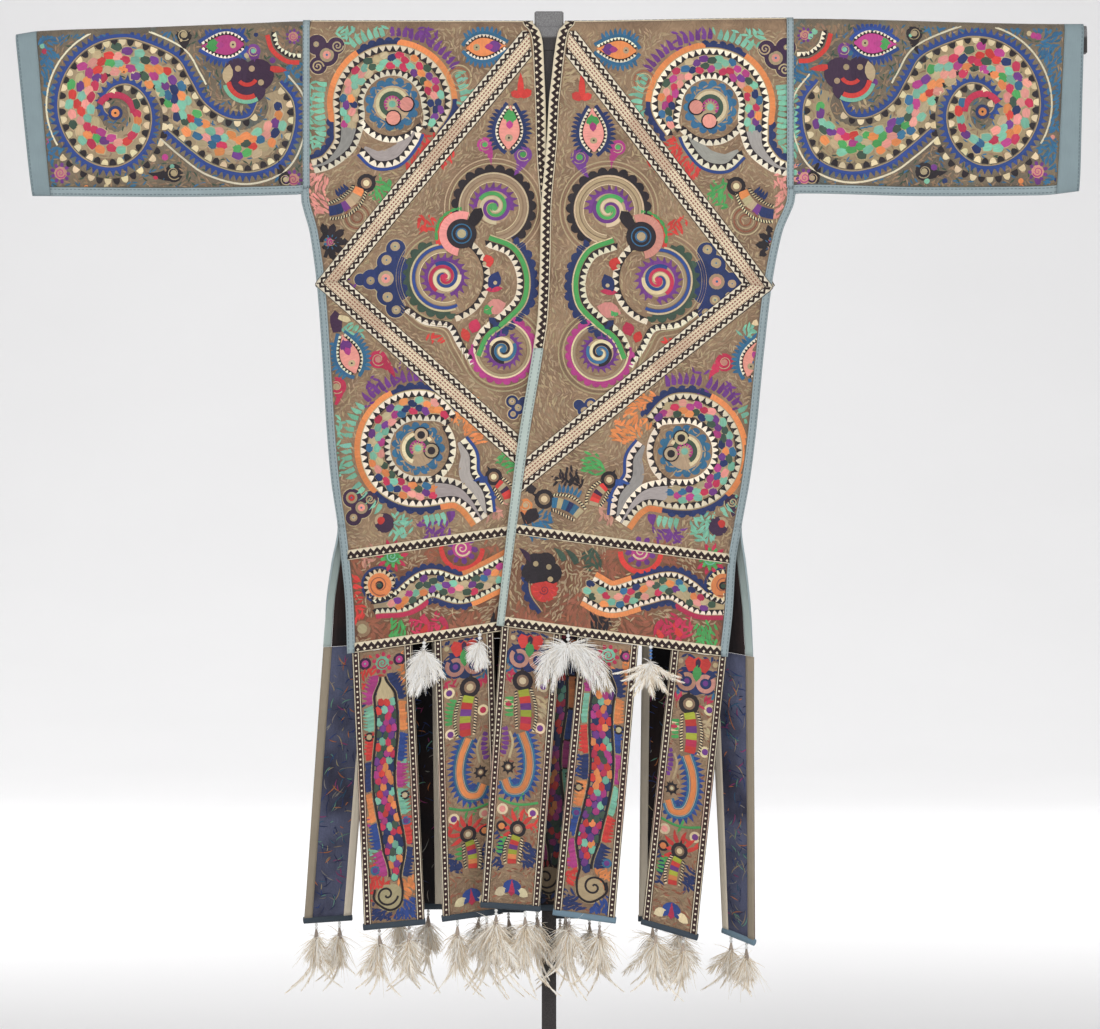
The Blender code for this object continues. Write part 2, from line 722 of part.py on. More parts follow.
def add_diamond_bands():
    """The wide braid, laid as a chevron on each front and as two chevrons on the back."""
    shoulder_cut = ((-1.0, BRAID_TOP), (1.0, BRAID_TOP), (0.0, 0.3))
    hidden_cut = ((0.010, 0.0), (0.010, 1.0), (-0.2, 0.4))
    right, left = PANELS["front_right"], PANELS["front_left"]
    back_cuts = {
        side: (((side * SEAM / 2, 0.0), (side * SEAM / 2, 1.0), (side * 0.2, 0.3)),)
        for side in (RIGHT, LEFT)
    }
    # name, panel, top end, corner, lower end, cuts at the top end, cuts at the lower end
    bands = (
        (
            "front_right", right, (-0.0268, 0.0287), (-0.2847, 0.343), (-0.0444, 0.559),
            (shoulder_cut, along_trim(right, RIGHT, BRAID_TOP, 0.06)), (hidden_cut,),
        ),
        (
            "front_left", left, (0.0248, 0.026), (0.2716, 0.347), (-0.0405, 0.601),
            (shoulder_cut, along_trim(left, LEFT, BRAID_TOP, 0.06)), (along_trim(left, LEFT, 0.56, 0.64),),
        ),
        (
            "back_right", PANELS["back"], (0.0, 0.040), (-0.284, 0.345), (0.0, 0.600),
            back_cuts[RIGHT], back_cuts[RIGHT],
        ),
        (
            "back_left", PANELS["back"], (0.0, 0.040), (0.274, 0.345), (0.0, 0.600),
            back_cuts[LEFT], back_cuts[LEFT],
        ),
    )
    for name, panel, top, corner, foot, top_cuts, foot_cuts in bands:
        rows = panel.sheet(PANEL_ROWS, panel_columns(panel))
        faces = diamond_leg(rows, top, corner, foot, top_cuts)
        faces += diamond_leg(rows, foot, corner, top, foot_cuts)
        add_node("diamond_band_" + name, solid_mesh(joined_sheet(faces), TRIM_FACES), "braid")


def strip_point(strip, across, down):
    """The middle of a hanging strip: across runs from left to right and down from hem to foot, 0 to 1."""
    panel = PANELS[strip.panel]
    x_top = mix(strip.top, across)
    top_drop = panel.hem(x_top) + HANG_GAP
    top = surface(x_top, top_drop - HANG_GAP, panel.face, panel.lap)
    x = x_top + (mix(strip.bottom, across) - x_top) * down
    y = top[1] + (mix(strip.depth, across) - top[1]) * down
    y += panel.face * STRIP_SWAY * math.sin(math.pi * down) * math.sin(math.pi * down + strip.top[0] * 9)
    drop = top_drop + (mix(strip.foot, across) - top_drop) * down
    return np.array((x, y, SHOULDER_Z - drop))


def strip_spot(strip, across, down, raised):
    step = 1e-4
    along = strip_point(strip, 1.0, down) - strip_point(strip, 0.0, down)
    fall = strip_point(strip, across, down + step) - strip_point(strip, across, down - step)
    outward = np.cross(along, fall) * PANELS[strip.panel].face
    return Spot(strip_point(strip, across, down), outward / np.linalg.norm(outward), raised)


def add_strips():
    for strip in STRIPS:
        width = strip.top[1] - strip.top[0]
        tape, step = STRIP_TAPE / width, (STRIP_TAPE + TAPE_STEP) / width
        half = ((0.0, TAPE_RAISED), (tape, TAPE_RAISED), (step, 0.0))
        columns = half + tuple((1 - across, raised) for across, raised in reversed(half))
        rows = [
            [strip_spot(strip, across, i / (STRIP_ROWS - 1), raised) for across, raised in columns]
            for i in range(STRIP_ROWS)
        ]
        add_cloth("strip_" + strip.name, rows, "silk")
        add_fringe(strip)


def extend(mesh, face, move, scale):
    """Extrudes one face, then moves and scales its new end. Returns the end face."""
    end = bmesh.ops.extrude_discrete_faces(mesh, faces=[face])["faces"][0]
    centre = Matrix.Translation(-end.calc_center_median())
    bmesh.ops.scale(mesh, vec=(scale,) * 3, verts=end.verts, space=centre)
    bmesh.ops.translate(mesh, vec=move, verts=end.verts)
    return end


def grow_tassel(mesh, root, neck, length, spread, rng, wall_side=None):
    """Grows a neck, a head and four feather locks down from a face. None leans to the wall side."""
    root = extend(mesh, root, (0.0, 0.0, -neck), 1.0)
    root = extend(mesh, root, (0.0, 0.0, -HEAD_LENGTH), HEAD_FLARE)
    axis = root.calc_center_median()
    for lock in bmesh.ops.poke(mesh, faces=[root])["faces"]:
        away = lock.calc_center_median() - axis
        away.z = 0.0
        away.normalize()
        bmesh.ops.inset_individual(mesh, faces=[lock], thickness=LOCK_INSET)
        straight = wall_side is not None and away.y * wall_side > 0.5
        lean = 0.0 if straight else spread * rng.uniform(0.75, 1.1)
        away.y = away.y * SIDEWAYS - (wall_side or 0) * FORWARD
        fall = length * rng.uniform(0.84, 1.0)
        for part, share, scale in LOCK_STEPS:
            if straight:
                scale = min(scale, 1.0)
            lock = extend(mesh, lock, away * lean * share - Vector((0, 0, fall * part)), scale)


def add_fringe(strip):
    """The bound end of a strip with its two feather tassels."""
    rng = random.Random(strip.name)
    thick, tall = ROOT_BAR
    left, right = (Vector(strip_point(strip, end, 1.0)) for end in FRINGE_ENDS)
    width = (right - left).length
    along = (right - left) / width
    through = Vector(strip_spot(strip, 0.5, 1.0, 0.0).outward)
    through.z = 0.0
    through.normalize()
    down = Vector((0.0, 0.0, -1.0))
    mesh = bmesh.new()
    centres = [place * width for place in FRINGE_PLACES]
    stations = [0.0] + [c + h for c in centres for h in (-NECK_WIDTH / 2, NECK_WIDTH / 2)] + [width]
    rings = []
    for station in stations:
        corner = left + along * station + down * HANG_GAP
        section = ((-thick / 2, 0.0), (thick / 2, 0.0), (thick / 2, tall), (-thick / 2, tall))
        rings.append([mesh.verts.new(corner + through * a + down * b) for a, b in section])
    roots = []
    for before, after in zip(rings, rings[1:]):
        for i in range(4):
            j = (i + 1) % 4
            face = mesh.faces.new((before[i], before[j], after[j], after[i]))
            if i == 2:
                roots.append(face)
    mesh.faces.new(rings[0])
    mesh.faces.new(rings[-1])
    bmesh.ops.recalc_face_normals(mesh, faces=mesh.faces)
    for root in (roots[1], roots[3]):
        top = SHOULDER_Z - root.calc_center_median().z + NECK_LENGTH + HEAD_LENGTH
        grow_tassel(mesh, root, NECK_LENGTH, FRINGE_FOOT - top, FRINGE_SPREAD, rng)
    add_node("fringe_" + strip.name, mesh, "feather")


def hem_band_point(panel, x):
    """The panel's middle and its direction halfway up the lower band, on the flat facet at x."""
    upper, lower = panel.sheet(LOWER_BAND_ROWS, panel_columns(panel))
    points = [Vector((a.point + b.point) / 2) for a, b in zip(upper, lower)]
    for start, end in zip(points, points[1:]):
        if min(start.x, end.x) <= x <= max(start.x, end.x):
            flat = Vector((end.x - start.x, end.y - start.y, 0.0)).normalized()
            outward = Vector((-flat.y, flat.x, 0.0)) * (1 if flat.x * panel.face > 0 else -1)
            return start.lerp(end, (x - start.x) / (end.x - start.x)), outward
    raise ValueError(f"no cloth at {x}")


def add_hem_tassels():
    """Single tassels that hang from the lower hem band, in front of the strips."""
    for number, tassel in enumerate(HEM_TASSELS, 1):
        panel = PANELS[tassel.panel]
        rng = random.Random(number)
        point, outward = hem_band_point(panel, tassel.x)
        gap = TRIM_FACES[1] + LIFT + HEM_KNOT / 2
        turn = Matrix.Rotation(math.atan2(outward.x, -outward.y), 4, "Z")
        mesh = bmesh.new()
        centre = point + outward * gap
        bmesh.ops.create_cube(mesh, size=HEM_KNOT, matrix=Matrix.Translation(centre) @ turn)
        root = min(mesh.faces, key=lambda face: face.calc_center_median().z)
        root = extend(mesh, root, HEM_KNOT_SHIFT, NECK_WIDTH / HEM_KNOT)
        grow_tassel(mesh, root, tassel.neck, tassel.length, tassel.spread, rng, wall_side=BACK)
        add_node(f"hem_tassel_{number}", mesh, "feather")


def box_mesh(size, centre):
    mesh = bmesh.new()
    bmesh.ops.create_cube(mesh, size=1.0)
    bmesh.ops.scale(mesh, vec=size, verts=mesh.verts)
    bmesh.ops.translate(mesh, vec=centre, verts=mesh.verts)
    return mesh


def arms_mesh():
    """The crossbar: round on top where the cloth lies, and drooping with the shoulder line."""
    clearance = BAR_WRAP - BAR_RADIUS
    mesh = bmesh.new()
    rings = []
    for i in range(BAR_STATIONS):
        x = mix(BAR_ENDS, i / (BAR_STATIONS - 1))
        top = SHOULDER_Z - shoulder(x) - clearance
        section = []
        for degrees in range(-90, 91, 30):
            angle = math.radians(degrees)
            section.append((BAR_RADIUS * math.sin(angle), top - BAR_RADIUS * (1 - math.cos(angle))))
        section += [(BAR_RADIUS, top - BAR_HEIGHT), (-BAR_RADIUS, top - BAR_HEIGHT)]
        rings.append([mesh.verts.new((x, y, z)) for y, z in section])
    for before, after in zip(rings, rings[1:]):
        for i in range(len(before)):
            j = (i + 1) % len(before)
            mesh.faces.new((before[i], before[j], after[j], after[i]))
    mesh.faces.new(rings[0])
    mesh.faces.new(rings[-1])
    bmesh.ops.recalc_face_normals(mesh, faces=mesh.faces)
    return mesh


def add_stand():
    """A flat base, and on it the post with its head and crossbar."""
    base = box_mesh(BASE_SIZE, (0.0, 0.0, BASE_SIZE[2] / 2))
    upright = [edge for edge in base.edges if abs(edge.verts[0].co.z - edge.verts[1].co.z) > 0.001]
    bmesh.ops.bevel(
        base, geom=upright, offset=BASE_CORNER, segments=4, profile=0.5, affect="EDGES", material=-1
    )
    lid = [edge for edge in base.edges if all(v.co.z > BASE_SIZE[2] - 1e-5 for v in edge.verts)]
    bmesh.ops.bevel(base, geom=lid, offset=BASE_EDGE, segments=1, profile=0.5, affect="EDGES", material=-1)
    add_node("stand_base", base, "stand")

    post_foot = BASE_SIZE[2] + SEAM
    post_top = SHOULDER_Z - BAR_HEIGHT / 2
    post = box_mesh((POST_SIDE, POST_SIDE, post_top - post_foot), (0.0, 0.0, (post_top + post_foot) / 2))
    frame = add_node("stand_frame", post, "stand")
    head = box_mesh(HEAD_SIZE, (0.0, 0.0, HEAD_TOP - HEAD_SIZE[2] / 2))
    bmesh.ops.bevel(
        head, geom=head.edges[:], offset=HEAD_EDGE, segments=1, profile=0.5, affect="EDGES", material=-1
    )
    for name, mesh in (("arms_guide", arms_mesh()), ("head_guide", head)):
        guide = add_node(name, mesh, "stand")
        guide.hide_render = True
        guide.display_type = "WIRE"
        union = frame.modifiers.new(name, "BOOLEAN")
        union.operation = "UNION"
        union.solver = "EXACT"
        union.object = guide


def clear_scene():
    for obj in list(bpy.data.objects):
        bpy.data.objects.remove(obj, do_unlink=True)


clear_scene()
add_stand()
add_panels()
add_front_trims()
add_sleeves()
add_diamond_bands()
add_strips()
add_hem_tassels()
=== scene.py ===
import math

import bmesh
import bpy
import numpy as np
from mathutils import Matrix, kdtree


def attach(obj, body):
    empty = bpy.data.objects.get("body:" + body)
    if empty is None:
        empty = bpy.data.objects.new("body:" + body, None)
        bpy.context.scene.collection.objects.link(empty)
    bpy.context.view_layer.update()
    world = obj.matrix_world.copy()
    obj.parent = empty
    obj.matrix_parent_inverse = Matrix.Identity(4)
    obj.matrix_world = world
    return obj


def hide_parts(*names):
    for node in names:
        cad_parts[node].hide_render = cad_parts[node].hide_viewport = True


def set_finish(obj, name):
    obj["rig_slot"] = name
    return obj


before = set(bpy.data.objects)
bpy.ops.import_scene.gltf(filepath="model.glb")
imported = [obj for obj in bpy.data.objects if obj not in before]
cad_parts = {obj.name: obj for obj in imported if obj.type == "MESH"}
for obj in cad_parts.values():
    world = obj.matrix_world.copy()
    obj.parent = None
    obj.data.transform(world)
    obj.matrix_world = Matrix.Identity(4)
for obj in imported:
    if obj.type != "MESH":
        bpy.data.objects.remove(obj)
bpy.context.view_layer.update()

# Metres, +Z up, the robe's front towards -Y. A place on the cloth is an (x, drop) pair, where
# drop is the distance below the top of the shoulders, and a height is measured out from the
# middle of the cloth.

RIGHT, LEFT = -1, 1
FRONT, BACK = -1, 1

# The cloth's form, as the solids have it
WALL = 0.002
SHOULDER_Z = 1.498
ARMPIT = 0.225
VENT_TOP = 0.662
VENT_FOOT = 0.829
BAR_WRAP = 0.0124
BODY_DEPTH = 0.038
LAP = 0.005
EDGE_STRIP = 0.010
PANEL_EDGE = 0.0103
FRONT_BRAID = 0.0135
BINDING_FOOT = 0.010
BRAID_END = 0.43
HEM_BAND = 0.013
SEAM_HEIGHT = 0.1285
DIAMOND_HALF = 0.0155
STRIP_TAPE = 0.0095
NECK_HALF = 0.020
TRIM_HEIGHT = 0.0019
TRIM_WALL = 0.001

# drop, right edge x, left edge x
BODY_EDGE = (
    (0.000, -0.3240, 0.3220),
    (0.225, -0.3240, 0.3220),
    (0.277, -0.3120, 0.3040),
    (0.342, -0.3030, 0.2910),
    (0.426, -0.2965, 0.2810),
    (0.546, -0.2890, 0.2690),
    (0.606, -0.2835, 0.2610),
    (0.662, -0.2755, 0.2510),
)
FLAP_EDGE = {
    FRONT: ((0.710, -0.2700, 0.2430), (0.770, -0.2645, 0.2390), (0.829, -0.2625, 0.2325)),
    BACK: ((0.710, -0.2840, 0.2570), (0.770, -0.2925, 0.2640), (0.828, -0.2965, 0.2680)),
}
# drop, front edge x
FRONT_EDGE_ROWS = {
    RIGHT: (
        (0.000, -0.0210),
        (0.0062, -0.0205),
        (0.014, -0.0125),
        (0.032, -0.0080),
        (0.067, -0.0063),
        (0.123, -0.0040),
        (0.157, -0.0034),
        (0.300, 0.0080),
        (0.430, 0.0180),
        (0.800, 0.0600),
    ),
    LEFT: (
        (0.000, 0.0206),
        (0.0062, 0.0202),
        (0.014, 0.0125),
        (0.044, 0.0070),
        (0.073, 0.0037),
        (0.111, -0.0004),
        (0.157, -0.0027),
        (0.250, -0.0104),
        (0.317, -0.0118),
        (0.387, -0.0145),
        (0.430, -0.0205),
        (0.562, -0.0420),
        (0.790, -0.0685),
    ),
}
# x, drop of the shoulder and sleeve top, and of the sleeve's lower edge
SHOULDER = (
    (-0.699, 0.019),
    (-0.665, 0.014),
    (-0.520, 0.009),
    (-0.390, 0.004),
    (-0.322, 0.0015),
    (0.000, 0.002),
    (0.322, -0.002),
    (0.674, 0.005),
    (0.699, 0.005),
)
SLEEVE_FOOT = (
    (-0.699, 0.228),
    (-0.676, 0.228),
    (-0.500, 0.229),
    (-0.330, 0.226),
    (-0.322, ARMPIT),
    (0.322, ARMPIT),
    (0.330, 0.2245),
    (0.500, 0.228),
    (0.640, 0.227),
    (0.699, 0.221),
)
# x at the sleeve's top, x at its lower edge
CUFF_OUTER = {RIGHT: (-0.699, -0.676), LEFT: (0.699, 0.6935)}
CUFF_INNER = {RIGHT: (-0.671, -0.652), LEFT: (0.674, 0.6635)}
# x, drop of each hem
HEMS = {
    "front_right": ((-0.330, 0.838), (0.100, 0.773)),
    "front_left": ((-0.100, 0.7856), (0.330, 0.8456)),
    "back": (
        (-0.3300, 0.8215),
        (-0.2965, 0.8200),
        (-0.1500, 0.8120),
        (0.0000, 0.8080),
        (0.1500, 0.8160),
        (0.3300, 0.8430),
    ),
}
# name, panel, top x, bottom x, bottom drop, bottom y, each left and right
STRIP_TABLE = (
    ("front_right_1", "front_right", (-0.2565, -0.1785), (-0.240, -0.162), (1.179, 1.171), (-0.038, -0.041)),
    ("front_right_2", "front_right", (-0.1490, -0.0725), (-0.138, -0.062), (1.168, 1.158), (-0.036, -0.033)),
    ("front_right_3", "front_right", (-0.0300, 0.0460), (-0.034, 0.040), (1.155, 1.155), (-0.021, -0.021)),
    ("front_left_1", "front_left", (-0.0614, 0.0151), (-0.087, -0.0123), (1.146, 1.152), (-0.070, -0.064)),
    ("front_left_2", "front_left", (0.0414, 0.1158), (0.0065, 0.0853), (1.158, 1.169), (-0.050, -0.047)),
    ("front_left_3", "front_left", (0.1593, 0.2304), (0.1215, 0.192), (1.171, 1.192), (-0.042, -0.038)),
    ("back_right_1", "back", (-0.2955, -0.2320), (-0.3217, -0.2616), (1.177, 1.175), (0.026, 0.046)),
    ("back_right_2", "back", (-0.2220, -0.1440), (-0.218, -0.140), (1.160, 1.160), (0.040, 0.043)),
    ("back_right_3", "back", (-0.1150, -0.0370), (-0.112, -0.034), (1.164, 1.164), (0.044, 0.042)),
    ("back_left_1", "back", (0.0000, 0.0780), (-0.005, 0.073), (1.172, 1.172), (0.041, 0.044)),
    ("back_left_2", "back", (0.1230, 0.1960), (0.119, 0.190), (1.176, 1.176), (0.043, 0.041)),
    ("back_left_3", "back", (0.2120, 0.2690), (0.2305, 0.269), (1.192, 1.204), (0.048, 0.008)),
)


def linear(red, green, blue):
    """A colour given as the eye sees it, 0 to 255, as light."""
    parts = [value / 255 for value in (red, green, blue)]
    return tuple(v / 12.92 if v < 0.04 else ((v + 0.055) / 1.055) ** 2.4 for v in parts)


THREADS = {
    "crimson": linear(192, 52, 84),
    "magenta": linear(176, 62, 130),
    "purple": linear(112, 58, 132),
    "plum": linear(62, 40, 66),
    "navy": linear(38, 52, 98),
    "royal": linear(46, 72, 138),
    "teal": linear(54, 106, 142),
    "mint": linear(124, 184, 158),
    "green": linear(78, 160, 88),
    "moss": linear(62, 82, 68),
    "orange": linear(226, 138, 82),
    "pink": linear(226, 150, 138),
    "rose": linear(196, 140, 122),
    "red": linear(208, 64, 58),
    "cream": linear(226, 206, 166),
    "ivory": linear(240, 228, 202),
    "black": linear(40, 33, 38),
    "brown": linear(64, 40, 42),
    "tan": linear(172, 150, 118),
    "straw": linear(188, 168, 132),
    "umber": linear(140, 114, 90),
    "sand": linear(166, 142, 113),
    "bark": linear(150, 125, 99),
    "rust": linear(150, 92, 70),
    "lime": linear(166, 172, 58),
    "grey": linear(158, 152, 146),
}
SCALE_COLOURS = (
    "crimson", "magenta", "purple", "mint", "orange", "pink", "teal", "moss", "navy", "straw", "mint"
)


def ramp(start, end, value):
    """Rises smoothly from 0 at start to 1 at end."""
    part = np.clip((value - start) / (end - start), 0.0, 1.0)
    return part * part * (3 - 2 * part)


def quarter(part):
    """A quarter of an ellipse: rises steeply from 0, and is level at 1."""
    return np.sqrt(1 - (1 - np.clip(part, 0.0, 1.0)) ** 2)


def smooth_curve(rows, column=1):
    """A smooth function through the rows' first and given columns, with no overshoot between them."""
    places = np.array([row[0] for row in rows])
    values = np.array([row[column] for row in rows])
    slopes = np.diff(values) / np.diff(places)
    tangents = np.concatenate([slopes[:1], np.zeros(len(rows) - 2), slopes[-1:]])
    for i in range(1, len(rows) - 1):
        before, after = slopes[i - 1], slopes[i]
        if before * after > 0:
            tangents[i] = 2 * before * after / (before + after)

    def curve(place):
        place = np.clip(place, places[0], places[-1])
        i = np.clip(np.searchsorted(places, place, side="right") - 1, 0, len(slopes) - 1)
        span = places[i + 1] - places[i]
        part = (place - places[i]) / span
        rise = part * part * (3 - 2 * part)
        start = part * (1 - part) ** 2 * span
        end = part * part * (part - 1) * span
        return values[i] * (1 - rise) + values[i + 1] * rise + tangents[i] * start + tangents[i + 1] * end

    return curve


shoulder = smooth_curve(SHOULDER)
sleeve_foot = smooth_curve(SLEEVE_FOOT)
SIDE_EDGES = {
    (side, face): smooth_curve(BODY_EDGE + FLAP_EDGE[face], 1 if side == RIGHT else 2)
    for side in (RIGHT, LEFT)
    for face in (FRONT, BACK)
}
FRONT_EDGES = {side: smooth_curve(rows) for side, rows in FRONT_EDGE_ROWS.items()}
HEM_LINES = {name: smooth_curve(rows) for name, rows in HEMS.items()}


def inward(x, drop, face):
    """How far a place lies in from the side seam or from the sleeve's lower edge."""
    right = x - SIDE_EDGES[RIGHT, face](drop)
    left = SIDE_EDGES[LEFT, face](drop) - x
    return np.maximum(np.where(x < 0, right, left), sleeve_foot(x) - drop)


def surface(x, drop, face, lap=0):
    """The middle of the cloth at many places, as x, y, z."""
    x, drop = np.broadcast_arrays(np.asarray(x, float), np.asarray(drop, float))
    edge = inward(x, drop, face)
    crown = quarter((drop - shoulder(x)) / BAR_WRAP)
    full = BAR_WRAP + (BODY_DEPTH - BAR_WRAP) * ramp(0.34, 0.16, abs(x)) * ramp(0.05, 0.42, drop)
    open_edge = (0.012 if face == FRONT else 0.020) * ramp(VENT_TOP, VENT_FOOT, drop)
    roll = 0.035 + 0.065 * ramp(0.15, 0.35, drop)
    body = 0.003 * ramp(0.12, 0.55, drop) * ramp(0.33, 0.26, abs(x)) * ramp(0.0, 0.06, edge)
    sleeve = 0.0012 * ramp(0.045, 0.12, drop) * ramp(0.30, 0.36, abs(x)) * ramp(0.0, 0.05, edge)
    depth = crown * (open_edge + (full - open_edge) * quarter(edge / roll))
    depth = depth + body * np.sin(2 * np.pi * x / 0.19 + 1.3 * face + 1.5 * drop)
    depth = depth + sleeve * np.sin(2 * np.pi * x / 0.12 + 0.8 * face + 6 * drop)
    depth = depth + lap * LAP * ramp(0.19, 0.09, x) * ramp(0.02, 0.11, drop)
    return np.stack([x, face * depth, SHOULDER_Z - drop], axis=-1)


def raised(place, across, down, height):
    """Points over a surface that place() gives from two coordinates, at a height out from it."""
    step = 4e-4
    along = place(across + step, down) - place(across - step, down)
    fall = place(across, down + step) - place(across, down - step)
    outward = np.cross(fall, along)
    outward /= np.linalg.norm(outward, axis=-1, keepdims=True)
    return place(across, down) + outward * height[..., None]


def cloth_place(face, lap=0):
    """A panel's points from x and drop. The back's x runs the other way, so that outward is right."""

    def place(across, down):
        return surface(-face * across, down, face, lap)

    return place


def mix(pair, part):
    return pair[0] + (pair[1] - pair[0]) * part


PANEL_FACES = {"front_right": (FRONT, 0), "front_left": (FRONT, 1), "back": (BACK, 0)}


def strip_place(strip):
    """A strip's points from metres across from its middle line, and metres down from the hem."""
    _, panel, top_x, foot_x, foot_drop, foot_y = strip
    face, lap = PANEL_FACES[panel]
    width = top_x[1] - top_x[0]
    hem = HEM_LINES[panel]
    length = sum(foot_drop) / 2 - hem(sum(top_x) / 2)

    def place(across, down):
        part = 0.5 - face * across / width
        fall = down / length
        x_top = mix(top_x, part)
        drop_top = hem(x_top) + 0.0004
        y_top = surface(x_top, hem(x_top), face, lap)[..., 1]
        x = x_top + (mix(foot_x, part) - x_top) * fall
        y = y_top + (mix(foot_y, part) - y_top) * fall
        y = y + face * 0.003 * np.sin(np.pi * fall) * np.sin(np.pi * fall + top_x[0] * 9)
        drop = drop_top + (mix(foot_drop, part) - drop_top) * fall
        return np.stack(np.broadcast_arrays(x, y, SHOULDER_Z - drop), axis=-1)

    return place, width, length


# Meshes

_patches = {}


def patch(rows, columns):
    """The faces of a flat patch of points, numbered row by row."""
    if (rows, columns) not in _patches:
        mesh = bmesh.new()
        bmesh.ops.create_grid(mesh, x_segments=columns - 1, y_segments=rows - 1, size=1.0)
        places = np.array([vertex.co[:2] for vertex in mesh.verts])
        low, high = places.min(0), places.max(0)
        cells = np.rint((places - low) / (high - low) * (columns - 1, rows - 1)).astype(int)
        number = cells[:, 1] * columns + cells[:, 0]
        faces = np.array([[vertex.index for vertex in face.verts] for face in mesh.faces])
        mesh.free()
        _patches[rows, columns] = number[faces]
    return _patches[rows, columns]


def new_object(name, points, faces, uvs=None, colours=None, materials=()):
    """An object of many faces of four corners, with a UV for each point and thread colours."""
    data = bpy.data.meshes.new(name)
    data.vertices.add(len(points))
    data.vertices.foreach_set("co", np.ascontiguousarray(points, np.float32).ravel())
    corners = faces.shape[1]
    data.loops.add(faces.size)
    data.loops.foreach_set("vertex_index", faces.ravel().astype(np.int32))
    data.polygons.add(len(faces))
    data.polygons.foreach_set("loop_start", np.arange(len(faces), dtype=np.int32) * corners)
    data.update(calc_edges=True)
    if uvs is not None:
        layer = data.uv_layers.new(name="UVMap")
        layer.data.foreach_set("uv", uvs[faces.ravel()].astype(np.float32).ravel())
    if colours is not None:
        layer = data.color_attributes.new("thread", "FLOAT_COLOR", "POINT")
        filled = np.concatenate([colours, np.ones((len(colours), 1))], axis=1)
        layer.data.foreach_set("color", filled.astype(np.float32).ravel())
    for material in materials:
        data.materials.append(material)
    data.shade_smooth()
    made = bpy.data.objects.new(name, data)
    bpy.context.scene.collection.objects.link(made)
    return made


def merged(obj, distance=2e-6):
    """Closes the poles and seams of an object's mesh."""
    mesh = bmesh.new()
    mesh.from_mesh(obj.data)
    bmesh.ops.remove_doubles(mesh, verts=mesh.verts, dist=distance)
    bmesh.ops.dissolve_degenerate(mesh, edges=mesh.edges, dist=distance / 2)
    mesh.to_mesh(obj.data)
    mesh.free()


def grid_object(name, points, uvs, materials, wall=WALL, outward=None, closed=False):
    """A sheet through a grid of points, given a wall. Its faces are turned towards outward."""
    rows, columns = points.shape[:2]
    faces = patch(rows, columns)
    flat = points.reshape(-1, 3)
    corners = flat[faces]
    normals = np.cross(corners[:, 1] - corners[:, 0], corners[:, 2] - corners[:, 0])
    aim = np.array(outward, float)
    aims = np.broadcast_to(aim.reshape(-1, 3) if aim.ndim > 1 else aim, (len(flat), 3))[faces[:, 0]]
    if np.einsum("ij,ij->", normals, aims) < 0:
        faces = faces[:, ::-1]
    made = new_object(name, flat, faces, uvs.reshape(-1, 2), materials=materials)
    if closed:
        merged(made, 1e-5)
    if wall:
        solid = made.modifiers.new("wall", "SOLIDIFY")
        solid.thickness = wall
        solid.offset = 0.0
        solid.use_quality_normals = True
        if len(materials) > 1:
            solid.material_offset = 1
    return made


def grid_size(points):
    """The flat width, length and area of a grid of points."""
    across = np.linalg.norm(np.diff(points, axis=1), axis=2).sum(axis=1).max()
    down = np.linalg.norm(np.diff(points, axis=0), axis=2).sum(axis=0).max()
    one = np.cross(points[1:, :-1] - points[:-1, :-1], points[:-1, 1:] - points[:-1, :-1])
    two = np.cross(points[:-1, 1:] - points[1:, 1:], points[1:, :-1] - points[1:, 1:])
    area = (np.linalg.norm(one, axis=2).sum() + np.linalg.norm(two, axis=2).sum()) / 2
    return float(across), float(down), float(area)


# Shaders


def operation(kind, turned=False):
    """A method that adds a Math node, with its two values the other way round if turned."""

    def method(self, other):
        return self.math(kind, *((other, self) if turned else (self, other)))

    return method


class Value:
    """A shader socket. Arithmetic on it adds Math nodes."""

    __add__ = __radd__ = operation("ADD")
    __sub__ = operation("SUBTRACT")
    __rsub__ = operation("SUBTRACT", turned=True)
    __mul__ = __rmul__ = operation("MULTIPLY")
    __truediv__ = operation("DIVIDE")
    __gt__ = operation("GREATER_THAN")
    __lt__ = operation("LESS_THAN")
    most = operation("MAXIMUM")

    def __init__(self, shader, socket):
        self.shader, self.socket = shader, socket

    def __abs__(self):
        return self.math("ABSOLUTE", self)

    def math(self, kind, *values):
        return self.shader.add("ShaderNodeMath", {"operation": kind}, dict(enumerate(values)))[0]

    def wave(self, period):
        """0 to 1 and back once in each period."""
        return self.math("PINGPONG", self, period / 2) / (period / 2)

    def part(self, period):
        """0 to 1 over and over, once in each period."""
        return self.math("FRACT", self / period)

    def step(self, low, high):
        """Rises from 0 at low to 1 at high."""
        limits = {"From Min": low, "From Max": high, "Value": self}
        return self.shader.add("ShaderNodeMapRange", {"interpolation_type": "SMOOTHSTEP"}, limits)["Result"]


class Outputs:
    """A node's outputs, by name or number."""

    def __init__(self, shader, node):
        self.shader, self.node = shader, node

    def __getitem__(self, key):
        return Value(self.shader, self.node.outputs[key])


